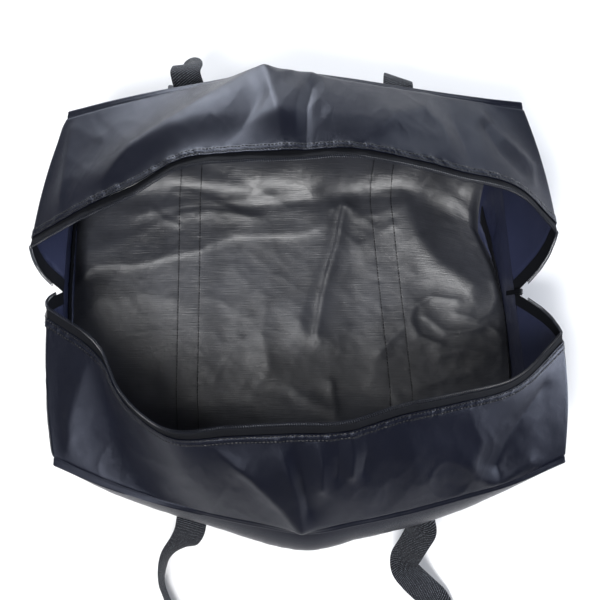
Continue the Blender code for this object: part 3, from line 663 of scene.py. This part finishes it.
class Recipe:
    """A node material under construction, with one Principled shader."""

    def __init__(self, name, colour, roughness):
        self.material = bpy.data.materials.new(name)
        self.material.use_nodes = True
        self.nodes = self.material.node_tree.nodes
        self.links = self.material.node_tree.links
        self.shader = self.nodes["Principled BSDF"]
        self.shader.inputs["Base Color"].default_value = (*colour, 1)
        self.shader.inputs["Roughness"].default_value = roughness
        self.coords = self.nodes.new("ShaderNodeTexCoord")

    def set(self, **numbers):
        """Sets plain numbers on the shader's own sockets."""
        for socket, value in numbers.items():
            self.shader.inputs[socket.replace("_", " ")].default_value = value

    def mapped(self, space, scale, turn=0.0):
        """Coordinates of the piece, scaled, and turned about Z."""
        node = self.nodes.new("ShaderNodeMapping")
        node.inputs["Scale"].default_value = scale
        node.inputs["Rotation"].default_value = (0, 0, turn)
        self.links.new(self.coords.outputs[space], node.inputs["Vector"])
        return node.outputs["Vector"]

    def noise(self, vector, detail=3.0, roughness=0.5):
        """Noise from 0 to 1 over coordinates that are already scaled."""
        node = self.nodes.new("ShaderNodeTexNoise")
        node.inputs["Scale"].default_value = 1.0
        node.inputs["Detail"].default_value = detail
        node.inputs["Roughness"].default_value = roughness
        self.links.new(vector, node.inputs["Vector"])
        return node.outputs["Fac"]

    def wave(self, vector, direction="X", distortion=0.0):
        """Even ribs from 0 to 1, one for each unit of the scaled coordinates."""
        node = self.nodes.new("ShaderNodeTexWave")
        node.bands_direction = direction
        node.inputs["Scale"].default_value = math.pi / 10
        node.inputs["Distortion"].default_value = distortion
        self.links.new(vector, node.inputs["Vector"])
        return node.outputs["Fac"]

    def math(self, kind, first, second):
        """A sum, product or the like of two values, each a socket or a number."""
        node = self.nodes.new("ShaderNodeMath")
        node.operation = kind
        for socket, value in zip(node.inputs, (first, second)):
            if isinstance(value, (int, float)):
                socket.default_value = value
            else:
                self.links.new(value, socket)
        return node.outputs[0]

    def colours(self, value, *stops):
        """A colour ramp over a value, with its stops as (place, colour)."""
        node = self.nodes.new("ShaderNodeValToRGB")
        ramp = node.color_ramp
        while len(ramp.elements) < len(stops):
            ramp.elements.new(0.5)
        for element, (place, colour) in zip(ramp.elements, stops):
            element.position = place
            element.color = (*colour, 1)
        self.links.new(value, node.inputs["Fac"])
        self.links.new(node.outputs["Color"], self.shader.inputs["Base Color"])

    def bump(self, value, depth):
        """Raises the surface by a value's 0 to 1 times a depth in metres, on top of earlier bumps."""
        node = self.nodes.new("ShaderNodeBump")
        node.inputs["Distance"].default_value = depth
        self.links.new(value, node.inputs["Height"])
        socket = self.shader.inputs["Normal"]
        if socket.links:
            self.links.new(socket.links[0].from_socket, node.inputs["Normal"])
        self.links.new(node.outputs["Normal"], socket)

    def rough(self, value, low, high):
        """Roughness that runs from low to high with a value's 0 to 1."""
        node = self.nodes.new("ShaderNodeMapRange")
        node.inputs["To Min"].default_value = low
        node.inputs["To Max"].default_value = high
        self.links.new(value, node.inputs["Value"])
        self.links.new(node.outputs["Result"], self.shader.inputs["Roughness"])


def tinted(colour, factor):
    """A colour made lighter or darker."""
    return tuple(min(1.0, part * factor) for part in colour)


def oxford_cloth(name, colour, roughness):
    """Outside cloth: plain weave of fine threads with a soft sheen and faint handling marks."""
    recipe = Recipe(name, colour, roughness)
    recipe.set(Specular_IOR_Level=0.29, Specular_Tint=(0.74, 0.80, 1.0, 1.0))
    warp = recipe.wave(recipe.mapped("UV", (CLOTH_THREADS, 0, 0)))
    weft = recipe.wave(recipe.mapped("UV", (0, CLOTH_THREADS, 0)), "Y")
    threads = recipe.math("MULTIPLY", warp, weft)
    slub = recipe.noise(recipe.mapped("UV", (1500, 260, 1)), 2.0)
    marks = recipe.noise(recipe.mapped("Object", (9, 9, 9)), 4.0, 0.6)
    recipe.colours(marks, (0.25, tinted(colour, 0.8)), (0.75, tinted(colour, 1.25)))
    recipe.rough(marks, roughness - 0.05, roughness + 0.07)
    recipe.bump(marks, 0.0006)
    recipe.bump(slub, 0.00012)
    recipe.bump(threads, 0.00008)
    return recipe.material


def coated_cloth(name, colour, roughness):
    """Inside face: a thin grey coating that shines a little and shows the weft threads as fine lines."""
    recipe = Recipe(name, colour, roughness)
    recipe.set(Specular_IOR_Level=0.62)
    lines = recipe.noise(recipe.mapped("UV", (26, 520, 1)), 3.0, 0.65)
    fine = recipe.noise(recipe.mapped("UV", (1500, 1500, 1)), 2.0)
    cloud = recipe.noise(recipe.mapped("Object", (13, 13, 13)), 4.0, 0.6)
    mixed = recipe.math("ADD", recipe.math("MULTIPLY", cloud, 0.7), recipe.math("MULTIPLY", lines, 0.3))
    recipe.colours(mixed, (0.3, tinted(colour, 0.6)), (0.7, tinted(colour, 1.5)))
    recipe.rough(cloud, roughness - 0.10, roughness + 0.10)
    recipe.bump(cloud, 0.0007)
    recipe.bump(lines, 0.00035)
    recipe.bump(fine, 0.00010)
    return recipe.material


def ribbed_webbing(name, colour, fleck):
    """Webbing: slanting ribs with finer ones across them, and pale flecks on their tops."""
    recipe = Recipe(name, colour, 0.62)
    recipe.set(Specular_IOR_Level=0.2)
    slant = recipe.wave(recipe.mapped("UV", (WEBBING_RIBS, WEBBING_RIBS, 0), RIB_TURN), "X", 1.2)
    cross_ribs = recipe.mapped("UV", (WEBBING_CROSS_RIBS, WEBBING_CROSS_RIBS, 0), CROSS_RIB_TURN)
    cross = recipe.wave(cross_ribs, "X", 0.6)
    flecked = recipe.noise(recipe.mapped("UV", (1100, 1100, 1)), 2.0, 0.7)
    tops = recipe.math("MULTIPLY", recipe.math("POWER", slant, 2.0), recipe.math("POWER", flecked, 2.0))
    # Pale colour where the tops of the slanting ribs meet a random speckle.
    recipe.colours(tops, (0.06, tinted(colour, 0.6)), (0.16, colour), (0.42, fleck))
    recipe.bump(slant, 0.0005)
    recipe.bump(cross, 0.00022)
    return recipe.material


def tape_weave(name, colour):
    """Zip and binding tape: fine lengthwise ribs and a matt face."""
    recipe = Recipe(name, colour, 0.75)
    recipe.set(Specular_IOR_Level=0.15)
    ribs = recipe.wave(recipe.mapped("UV", (0, TAPE_RIBS, 0)), "Y")
    grain = recipe.noise(recipe.mapped("UV", (900, 900, 1)), 2.0)
    recipe.colours(grain, (0.3, tinted(colour, 0.8)), (0.7, tinted(colour, 1.4)))
    recipe.bump(ribs, 0.00012)
    recipe.bump(grain, 0.00010)
    return recipe.material


def plastic_teeth(name, colour):
    """Zip coil: smooth dark monofilament with paler scuffs."""
    recipe = Recipe(name, colour, 0.32)
    recipe.set(Specular_IOR_Level=0.4)
    scuffs = recipe.noise(recipe.mapped("Object", (500, 500, 500)), 3.0)
    recipe.colours(scuffs, (0.35, tinted(colour, 2.0)), (0.75, tinted(colour, 5.0)))
    recipe.rough(scuffs, 0.24, 0.45)
    return recipe.material


def painted_slider(name, colour):
    """Slider: dark enamel with rubbed edges and fine scratches."""
    recipe = Recipe(name, colour, 0.3)
    recipe.set(Metallic=0.6, Coat_Weight=0.3)
    flecked = recipe.noise(recipe.mapped("Object", (900, 900, 300)), 4.0, 0.7)
    recipe.colours(flecked, (0.45, colour), (0.8, tinted(colour, 4.0)))
    recipe.rough(flecked, 0.22, 0.5)
    recipe.bump(flecked, 0.00005)
    return recipe.material


def sewing_thread(name, colour):
    """Thread: twisted fibres with a slight shine."""
    recipe = Recipe(name, colour, 0.5)
    twist = recipe.noise(recipe.mapped("Object", (1600, 1600, 1600)), 2.0)
    recipe.colours(twist, (0.3, tinted(colour, 0.7)), (0.7, tinted(colour, 1.5)))
    recipe.bump(twist, 0.0001)
    return recipe.material


FINISHES = {}
# Inner faces of the end walls and flaps: the outside colour this many times paler. Their bluish navy is
# partly the cloth's own reverse and partly painted shade, for faces that lie in shade.
REVERSE_AND_SHADE_PALER = 7.0


def finish(kind):
    """The material of one kind, made once, with its colour from the panel's settings."""
    if kind not in FINISHES:
        colours = bpy.context.scene.bag_colours
        # Paler outside colour for the inner faces of the ends and flaps: the cloth's reverse, with painted
        # bluish shade in it.
        reverse_and_shade = tinted(colours.outside, REVERSE_AND_SHADE_PALER)
        maker, *values = {
            "outside": (oxford_cloth, "navy_oxford_cloth", colours.outside, colours.outside_roughness),
            "lining": (coated_cloth, "grey_coating", colours.coating, colours.coating_roughness),
            "end lining and painted shade": (oxford_cloth, "navy_reverse", reverse_and_shade, colours.outside_roughness),
            "webbing": (ribbed_webbing, "ribbed_webbing", colours.webbing, colours.fleck),
            "tape": (tape_weave, "zip_tape_weave", colours.zip),
            "teeth": (plastic_teeth, "zip_coil_plastic", colours.zip),
            "slider": (painted_slider, "slider_enamel", colours.zip),
            "binding": (tape_weave, "binding_weave", colours.binding),
            "thread": (sewing_thread, "sewing_thread", colours.thread),
        }[kind]
        FINISHES[kind] = maker(*values)
    return FINISHES[kind]


class BagColours(bpy.types.PropertyGroup):
    """Colours and gloss of the bag's materials."""
    outside: bpy.props.FloatVectorProperty(
        name="Outside cloth", description="Colour of the woven outside", subtype="COLOR",
        size=3, min=0, max=1, default=(0.0032, 0.0038, 0.0082))
    outside_roughness: bpy.props.FloatProperty(
        name="Outside roughness", description="Roughness of the woven outside", subtype="FACTOR",
        min=0.1, max=1, default=0.34)
    coating: bpy.props.FloatVectorProperty(
        name="Coating", description="Colour of the coated inside", subtype="COLOR",
        size=3, min=0, max=1, default=(0.032, 0.034, 0.042))
    coating_roughness: bpy.props.FloatProperty(
        name="Coating roughness", description="Roughness of the coated inside", subtype="FACTOR",
        min=0.1, max=1, default=0.36)
    webbing: bpy.props.FloatVectorProperty(
        name="Webbing", description="Colour of the webbing's yarn", subtype="COLOR",
        size=3, min=0, max=1, default=(0.0035, 0.0043, 0.0085))
    fleck: bpy.props.FloatVectorProperty(
        name="Webbing fleck", description="Colour of the worn tops of the ribs", subtype="COLOR",
        size=3, min=0, max=1, default=(0.26, 0.28, 0.32))
    zip: bpy.props.FloatVectorProperty(
        name="Zip", description="Colour of the tape, coil and slider", subtype="COLOR",
        size=3, min=0, max=1, default=(0.0035, 0.004, 0.006))
    binding: bpy.props.FloatVectorProperty(
        name="Binding", description="Colour of the tape over the end seams", subtype="COLOR",
        size=3, min=0, max=1, default=(0.005, 0.0055, 0.008))
    thread: bpy.props.FloatVectorProperty(
        name="Thread", description="Colour of the stitches", subtype="COLOR",
        size=3, min=0, max=1, default=(0.002, 0.0025, 0.004))


class BagSizes(bpy.types.PropertyGroup):
    """Sizes of the small parts that the solids leave out."""
    coil_pitch: bpy.props.FloatProperty(
        name="Coil pitch", description="Distance from tooth to tooth", subtype="DISTANCE",
        min=0.001, max=0.006, default=0.0025)
    coil_wire: bpy.props.FloatProperty(
        name="Coil wire", description="Thickness of the coil's filament", subtype="DISTANCE",
        min=0.0003, max=0.002, default=0.0011)
    stitch_length: bpy.props.FloatProperty(
        name="Stitch length", description="Length of one stitch", subtype="DISTANCE",
        min=0.001, max=0.01, default=0.0031)
    stitch_gap: bpy.props.FloatProperty(
        name="Stitch gap", description="Cloth between two stitches", subtype="DISTANCE",
        min=0.0002, max=0.005, default=0.0010)
    thread: bpy.props.FloatProperty(
        name="Thread", description="Thickness of the thread", subtype="DISTANCE",
        min=0.0002, max=0.0025, default=0.0018)


class BagStage(bpy.types.PropertyGroup):
    """The floor and the light."""
    floor: bpy.props.FloatVectorProperty(
        name="Floor", description="Colour of the floor", subtype="COLOR",
        size=3, min=0, max=1, default=(0.86, 0.86, 0.87))
    light: bpy.props.FloatProperty(
        name="Light", description="Strength of all lights together", subtype="FACTOR",
        min=0, max=4, default=1.0)
    surround: bpy.props.FloatProperty(
        name="Surround", description="Brightness of the empty studio", subtype="FACTOR",
        min=0, max=4, default=0.03)


def stitch_place(end, edge):
    """Share from end to end of a row of stitches through a webbing, near one of its edges."""
    return 0.5 + (end * STRAP_SPACING + edge * SEWN_APART) / 2 / LENGTH


def strap_columns(end):
    """Shares from end to end of a sewn webbing's edges, with its middle between them."""
    centre = 0.5 + end * STRAP_SPACING / 2 / LENGTH
    half = WEB_WIDTH / 2 / LENGTH
    return np.array((centre - half, centre, centre + half))


def body_columns():
    """Even shares from end to end, with closer ones beside each row of stitches through the webbing."""
    rows = [stitch_place(end, edge) for end in (LEFT, RIGHT) for edge in (LEFT, RIGHT)]
    beside = np.array(STITCH_COLUMNS) / 1000 / LENGTH
    even = np.linspace(0, 1, BODY_STEPS)
    clear = np.min(np.abs(even[:, None] - np.array(rows)[None]), axis=1) > STITCH_CLEAR / LENGTH
    return np.sort(np.concatenate([even[clear]] + [row + beside for row in rows]))


UP = np.append(np.linspace(0, SLIT, 28, endpoint=False), np.linspace(SLIT, 1, 24))
ROLL = 0.012 / (WIDTH / 2)
HEM = 0.013 / (WIDTH / 2)
OUT = np.concatenate((np.linspace(0, ROLL, 12, endpoint=False),
                      np.linspace(ROLL, 1 - TAPE - HEM, 36, endpoint=False),
                      np.linspace(1 - TAPE - HEM, 1 - TAPE, 20)))
ACROSS = np.linspace(0, 1, 96)


class BuildBody(bpy.types.Operator):
    """Body cloth: near wall, base and far wall in one piece, coated on the inside."""
    bl_idname = "bag.body"
    bl_label = "Body cloth"

    def execute(self, context):
        """The body's grid at the fine steps, as a two-faced shell."""
        turn = np.concatenate((1 - UP[::-1], 1 + ACROSS[1:-1], 2 + UP))
        grid, normals = surface(body_point, body_height, body_columns(), turn)
        cloth_piece("body_cloth", grid, normals, CLOTH, finish("outside"), finish("lining"), "cloth",
                    ("body_panel",))
        return {"FINISHED"}


class BuildEnds(bpy.types.Operator):
    """End walls under the zip's ends."""
    bl_idname = "bag.ends"
    bl_label = "End walls"

    def execute(self, context):
        """Each end's grid from the floor to the foot of the slit."""
        for end, name in ((LEFT, "left"), (RIGHT, "right")):
            across = ACROSS if end == LEFT else ACROSS[::-1]
            up = UP[UP <= SLIT + SAME_SHARE]
            grid, normals = surface(partial(end_point, end), end_height(end), up, across)
            cloth_piece("end_cloth_" + name, grid, normals, CLOTH, finish("outside"),
                        finish("end lining and painted shade"), "cloth", ("end_panel_" + name,))
        return {"FINISHED"}


def side_walk(side, count):
    """Places along one side's walk, in the order that turns the cloth's outside up."""
    climb = np.linspace(-1, 0, 24, endpoint=False)
    walk = np.concatenate((climb, np.linspace(0, 1, count), 1 - climb[::-1]))
    return walk if side == NEAR else walk[::-1]


class BuildFlaps(bpy.types.Operator):
    """Top flaps with the upper halves of the ends, sewn to the zip."""
    bl_idname = "bag.flaps"
    bl_label = "Flaps"

    def execute(self, context):
        """Each side's grid from its seam to the edge of its hem."""
        for side, name in ((NEAR, "near"), (FAR, "far")):
            walk = side_walk(side, WALK_STEPS)
            grid, normals = surface(partial(side_point, side), flap_height(side), walk, OUT)
            cloth_piece("flap_cloth_" + name, grid, normals, CLOTH, finish("outside"),
                        finish("end lining and painted shade"), "cloth", ("gusset_" + name,))
        return {"FINISHED"}


def tape_height(walk, out, plain):
    """The tape starts under the hem and comes level at its free edge, with a slight ripple."""
    under = ease(out, 1 - TAPE - 0.03, 1)
    ripple = lattice_noise(walked(walk) / TAPE_RIPPLE_CELL, out * 0, 51)
    return -TAPE_DIP * (1 - under) + TAPE_RIPPLE * ripple


class BuildZip(bpy.types.Operator):
    """Zip tapes, coils and slider."""
    bl_idname = "bag.zip"
    bl_label = "Zip"

    def execute(self, context):
        """Tapes as thin shells under the hems, and a coiled filament along each free edge."""
        sizes = context.scene.bag_sizes
        for side, name in ((NEAR, "near"), (FAR, "far")):
            shape = partial(side_point, side)
            walk = side_walk(side, WALK_STEPS)
            grid, normals = surface(shape, tape_height, walk, np.linspace(1 - TAPE - TAPE_UNDER, 1, 10))
            cloth_piece("zip_tape_cloth_" + name, grid, normals, TAPE_THICK, finish("tape"),
                        finish("tape"), "zip_tape", ("zip_tape_" + name,))
            first = COIL_DELAY / HEIGHT / (1 - SLIT)
            walk = walk[(walk >= -1 + first) & (walk <= 2 - first)]
            edge, normals = surface(shape, tape_height, walk, np.array((0.97, 0.985, 1.0)))
            outward = unit(edge[:, 2] - edge[:, 1])
            centre = edge[:, 2] + outward * COIL_WIDTH * 0.42
            points, faces = coiled_filament(centre, outward, normals[:, 2], sizes.coil_pitch,
                                            sizes.coil_wire)
            new_piece("zip_teeth_" + name, points, faces, (finish("teeth"),), "zip_coil",
                      ("zip_coil_" + name,))
        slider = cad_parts["zip_slider"]
        slider.data.materials.clear()
        slider.data.materials.append(finish("slider"))
        return {"FINISHED"}


def resampled(path, step):
    """Even lengths along a path, about a step apart, and the lengths of the path's own points."""
    lengths = lengths_along(path)
    even = np.linspace(0, lengths[-1], max(2, int(round(lengths[-1] / step)) + 1))
    return even, lengths


def follow(values, even, lengths):
    """Each column of some values, read at the even lengths."""
    return np.stack([np.interp(even, lengths, values[:, k]) for k in range(values.shape[1])], axis=1)


def coiled_filament(centre, outward, normal, pitch, wire):
    """A flat helix round a path: the centre plus cos and sin of the turn on its width and height."""
    even, lengths = resampled(centre, pitch / COIL_RINGS)
    middle = follow(centre, even, lengths)
    outward = follow(outward, even, lengths)
    normal = follow(normal, even, lengths)
    angle = (2 * math.pi * even / pitch)[:, None]
    round_x = np.cos(angle) * (COIL_WIDTH - wire) / 2
    round_z = np.sin(angle) * (COIL_HEIGHT - wire) / 2
    helix = middle + outward * round_x + normal * round_z
    run = unit(np.gradient(helix, axis=0))
    away = outward * np.cos(angle) + normal * np.sin(angle)
    side = unit(np.cross(run, away))
    away = np.cross(side, run)
    turn = np.radians((0, 90, 180, 270))
    rings = (helix[:, None] + (np.cos(turn)[None, :, None] * away[:, None]
                               + np.sin(turn)[None, :, None] * side[:, None]) * wire / 2)
    return tube(rings)


def webbing_strip(middle, across, thick):
    """A woven band: a flat profile with rounded edges, carried along its middle line."""
    turn = np.radians(np.arange(0, 360, 30) + 15)
    flat = np.sign(np.cos(turn)) * np.abs(np.cos(turn)) ** 0.45
    round_edge = np.sign(np.sin(turn)) * np.abs(np.sin(turn)) ** 0.8
    rings = (middle[:, None] + flat[None, :, None] * across[:, None] * WEB_WIDTH / 2
             + round_edge[None, :, None] * thick[:, None] * WEB_THICK / 2)
    points, faces = tube(rings)
    length = lengths_along(middle)
    chart = np.stack(np.broadcast_arrays(length[:, None], (flat * WEB_WIDTH / 2)[None]), axis=-1)
    return points, faces, chart


def strap_grid(end):
    """Points and normals of the body cloth under one webbing, at its edges and middle."""
    return surface(body_point, body_height, strap_columns(end), np.linspace(*strap_turns(), STRAP_STEPS))


def sewn_end(end, side):
    """Middle, width and onward direction of a sewn webbing's end, where the free loop leaves it."""
    low, high = strap_turns()
    edge = low if side == FAR else high
    inner = edge + SEWN_STEP * (1 if side == FAR else -1)
    plain = body_point(strap_columns(end)[:, None], np.sort((edge, inner))[None])
    normals = unit(np.cross(np.gradient(plain, axis=0), np.gradient(plain, axis=1)))
    raised = plain + normals * (CLOTH / 2 + GAP + WEB_THICK / 2 + LOOP_STAND_OFF)
    at, before = (0, 1) if side == FAR else (1, 0)
    onward = raised[:, at].mean(axis=0) - raised[:, before].mean(axis=0)
    return raised[:, at].mean(axis=0), raised[2, at] - raised[0, at], unit(onward)


def loop_route(side):
    """Middle line, width and thickness directions of a free loop, by cubics between its table's rows."""
    rows = LOOP[side]
    angle = np.radians(rows["stand"])
    lowest = WEB_WIDTH / 2 * np.sin(angle) + WEB_THICK / 2 * np.cos(angle)
    height = rows["lift"] * HEIGHT + lowest
    centre = np.stack((rows["x"] * STRAP_SPACING, rows["y"] * WIDTH, height), axis=1)
    heading = np.gradient(centre, axis=0)
    level = unit(np.stack((heading[:, 1], -heading[:, 0], 0 * heading[:, 0]), axis=1))
    heading = unit(heading)
    upright = unit(np.array((0, 0, 1)) - heading * heading[:, 2:])
    wide = level * np.cos(angle)[:, None] + upright * np.sin(angle)[:, None]
    starts = []
    for point, width, onward in (sewn_end(LEFT, side), sewn_end(RIGHT, side)):
        starts.append((point + onward * GAP, point + onward * LOOP_ROOT, unit(width)))
    path = np.concatenate(([starts[0][0], starts[0][1]], centre, [starts[1][1], starts[1][0]]))
    sign = np.sign(wide[0] @ starts[0][2]), np.sign(wide[-1] @ starts[1][2])
    wide = np.concatenate(([starts[0][2] * sign[0]] * 2, wide, [starts[1][2] * sign[1]] * 2))
    knots = lengths_along(path)
    place = np.linspace(0, knots[-1], LOOP_STEPS)
    index = np.clip(np.searchsorted(knots, place, side="right") - 1, 0, len(knots) - 2)
    span = (knots[index + 1] - knots[index])[:, None]
    f = (place[:, None] - knots[index, None]) / span
    result = []
    for values in (path, wide):
        slope = np.gradient(values, knots, axis=0)
        leave, arrive = span * slope[index], span * slope[index + 1]
        result.append(cubic(values[index], leave, values[index + 1], arrive, f))
    middle, across = result
    run = unit(np.gradient(middle, axis=0))
    across = unit(across)
    thick = unit(np.cross(run, across))
    resting = np.abs(across[:, 2]) * WEB_WIDTH / 2 + np.abs(thick[:, 2]) * WEB_THICK / 2
    middle[:, 2] = np.maximum(middle[:, 2], resting)
    return middle, across, thick


class BuildWebbing(bpy.types.Operator):
    """Webbing: the two sewn runs and the two carrying loops."""
    bl_idname = "bag.webbing"
    bl_label = "Webbing"

    def execute(self, context):
        """Bands carried along the body cloth and along the loops' routes."""
        for end, name in ((LEFT, "left"), (RIGHT, "right")):
            grid, normals = strap_grid(end)
            middle = grid[1] + normals[1] * (CLOTH / 2 + WEB_THICK / 2 + GAP)
            points, faces, chart = webbing_strip(middle, unit(grid[2] - grid[0]), normals[1])
            new_piece("sewn_webbing_" + name, points, faces, (finish("webbing"),), "webbing",
                      ("webbing_" + name,), chart)
        for side, name in ((NEAR, "near"), (FAR, "far")):
            points, faces, chart = webbing_strip(*loop_route(side))
            new_piece("handle_webbing_" + name, points, faces, (finish("webbing"),), "webbing",
                      ("handle_" + name,), chart)
        return {"FINISHED"}


class BuildBindings(bpy.types.Operator):
    """Binding tape over the end seams, inside the bag."""
    bl_idname = "bag.bindings"
    bl_label = "Bindings"

    def execute(self, context):
        """A puckered band inside each end wall."""
        for end, name in ((LEFT, "left"), (RIGHT, "right")):
            across = np.linspace(BINDING_END, 1 - BINDING_END, BINDING_STEPS)
            across = across if end == LEFT else across[::-1]
            up = np.linspace(BINDING_LOW / HEIGHT, BINDING_HIGH / HEIGHT, 12)

            def height(rise, over, plain, end=end):
                """The tape lies inside the wall, and ripples along its length."""
                ripple = BINDING_RIPPLE * np.abs(puckers(over * BINDING_LENGTH, 61 + end))
                return end_height(end)(rise, over, plain) - CLOTH / 2 - GAP - BINDING_THICK / 2 - ripple

            grid, normals = surface(partial(end_point, end), height, up, across)
            cloth_piece("binding_tape_" + name, grid, normals, BINDING_THICK, finish("binding"),
                        finish("binding"), "binding", ("seam_binding_" + name,))
        return {"FINISHED"}


# A row of stitches and two lines beside it, which give the cloth's slope there
NEIGHBOURS = np.array((-0.004, 0, 0.004))


def stitch_row(grid, normals, sizes, lift):
    """Stitches along a line of points: each a short rounded bar that dips into the cloth at its ends."""
    pitch = sizes.stitch_length + sizes.stitch_gap
    even, lengths = resampled(grid, pitch)
    start = follow(grid, even[:-1], lengths)
    run = follow(grid, even[:-1] + sizes.stitch_length, lengths) - start
    normal = unit(follow(normals, even[:-1] + sizes.stitch_length / 2, lengths))
    side = unit(np.cross(normal, run))
    half = sizes.thread / 2
    rings = []
    for share, size, rise in ((0, 0.45, -0.6), (0.18, 1, 0.25), (0.82, 1, 0.25), (1, 0.45, -0.6)):
        middle = start + run * share + normal * (lift + half * rise)
        ring = [middle + (side * math.cos(turn) + normal * math.sin(turn)) * half * size
                for turn in np.radians((30, 90, 150, 210, 270, 330))]
        rings.append(np.stack(ring, axis=1))
    rings = np.stack(rings, axis=1)
    faces = tube(rings[0])[1]
    first = np.arange(len(rings)) * rings.shape[1] * rings.shape[2]
    return rings.reshape(-1, 3), (faces[None] + first[:, None, None]).reshape(-1, 4)


def joined(parts):
    """Several sets of points and quads as one."""
    points, faces, count = [], [], 0
    for part_points, part_faces in parts:
        points.append(part_points)
        faces.append(part_faces + count)
        count += len(part_points)
    return np.concatenate(points), np.concatenate(faces)


class BuildStitches(bpy.types.Operator):
    """Stitches: along the hems by the zip, and where the webbing is sewn through the base."""
    bl_idname = "bag.stitches"
    bl_label = "Stitches"

    def execute(self, context):
        """Rows of small thread bars on the cloth's own surface."""
        sizes = context.scene.bag_sizes
        for side, name in ((NEAR, "near"), (FAR, "far")):
            walk = side_walk(side, STITCH_WALK_STEPS)
            parts = []
            for from_hem in HEM_ROWS:
                out = 1 - TAPE - from_hem / (WIDTH / 2) + NEIGHBOURS
                grid, normals = surface(partial(side_point, side), flap_height(side), walk, out)
                parts.append(stitch_row(grid[:, 1], normals[:, 1], sizes, CLOTH / 2))
            new_piece("hem_stitches_" + name, *joined(parts), (finish("thread"),), "cloth")
        turn = np.linspace(*strap_turns(), STRAP_STITCH_STEPS)
        parts = []
        for end in (LEFT, RIGHT):
            for edge in (LEFT, RIGHT):
                place = stitch_place(end, edge) + NEIGHBOURS
                grid, normals = surface(body_point, body_height, place, turn)
                parts.append(stitch_row(grid[1], -normals[1], sizes, CLOTH / 2))
        new_piece("strap_stitches", *joined(parts), (finish("thread"),), "cloth")
        return {"FINISHED"}


def area_light(name, place, size, power, colour):
    """A soft rectangular light that faces the bag: tilted from straight down, and turned about Z."""
    light = bpy.data.lights.new(name, "AREA")
    light.shape = "RECTANGLE"
    light.size, light.size_y = size
    light.energy = power
    light.color = colour
    lamp = bpy.data.objects.new(name, light)
    lamp.location = place
    away = np.array(LIGHTS_AIM, dtype=float) - np.array(place, dtype=float)
    flat = math.hypot(away[0], away[1])
    lamp.rotation_euler = (math.atan2(flat, -away[2]), 0, math.atan2(-away[0], away[1]))
    bpy.context.scene.collection.objects.link(lamp)


class BuildStage(bpy.types.Operator):
    """Floor, soft lights and the camera above the bag."""
    bl_idname = "bag.stage"
    bl_label = "Stage"

    def execute(self, context):
        """A pale floor sheet, the soft lights, an even surround and the camera."""
        stage = context.scene.bag_stage
        corners = np.array([(-1, -1, 0), (1, -1, 0), (1, 1, 0), (-1, 1, 0)])
        points = corners * FLOOR_HALF - np.array((0, 0, FLOOR_DROP))
        mesh = bpy.data.meshes.new("floor")
        mesh.from_pydata(points.tolist(), [], [(0, 1, 2, 3)])
        floor = bpy.data.objects.new("floor", mesh)
        context.scene.collection.objects.link(floor)
        recipe = Recipe("pale_floor", tuple(stage.floor), 0.7)
        grain = recipe.noise(recipe.mapped("Object", (60, 60, 60)), 3.0)
        recipe.rough(grain, 0.65, 0.8)
        mesh.materials.append(recipe.material)
        for name, place, size, watts, colour in LIGHTS:
            area_light(name, place, size, watts * stage.light, colour)
        world = bpy.data.worlds.new("studio_surround")
        world.use_nodes = True
        world.node_tree.nodes["Background"].inputs["Color"].default_value = (1, 1, 1, 1)
        world.node_tree.nodes["Background"].inputs["Strength"].default_value = stage.surround
        context.scene.world = world
        context.scene.view_settings.view_transform = "Standard"
        data = bpy.data.cameras.new("camera")
        data.lens = CAMERA_LENS
        data.sensor_width = SENSOR
        camera = bpy.data.objects.new("camera", data)
        camera.location = CAMERA_PLACE
        camera.rotation_euler = (CAMERA_TILT, 0, 0)
        context.scene.collection.objects.link(camera)
        context.scene.camera = camera
        return {"FINISHED"}


OPERATORS = (BuildStage, BuildBody, BuildEnds, BuildFlaps, BuildZip, BuildWebbing, BuildBindings,
             BuildStitches)
SETTINGS = (("bag_colours", BagColours), ("bag_sizes", BagSizes), ("bag_stage", BagStage))


class BagPanel(bpy.types.Panel):
    """The bag's settings and its makers, in the sidebar."""
    bl_idname = "BAG_PT_main"
    bl_label = "Tent Pole Bag"
    bl_space_type = "VIEW_3D"
    bl_region_type = "UI"
    bl_category = "Bag"

    def draw(self, context):
        """Lists every setting, then every operator."""
        for name, group in SETTINGS:
            box = self.layout.box()
            for prop in group.__annotations__:
                box.prop(getattr(context.scene, name), prop)
        for operator in OPERATORS:
            self.layout.operator(operator.bl_idname)


def register():
    """Registers the settings, the operators and the panel."""
    for name, group in SETTINGS:
        bpy.utils.register_class(group)
        setattr(bpy.types.Scene, name, bpy.props.PointerProperty(type=group))
    for operator in OPERATORS:
        bpy.utils.register_class(operator)
    bpy.utils.register_class(BagPanel)


def unregister():
    """Takes away what register added."""
    bpy.utils.unregister_class(BagPanel)
    for operator in OPERATORS:
        bpy.utils.unregister_class(operator)
    for name, group in SETTINGS:
        delattr(bpy.types.Scene, name)
        bpy.utils.unregister_class(group)


def main():
    """Builds the stage and every piece."""
    register()
    bpy.ops.bag.stage()
    bpy.ops.bag.body()
    bpy.ops.bag.ends()
    bpy.ops.bag.flaps()
    bpy.ops.bag.zip()
    bpy.ops.bag.webbing()
    bpy.ops.bag.bindings()
    bpy.ops.bag.stitches()


if __name__ == "__main__":
    main()
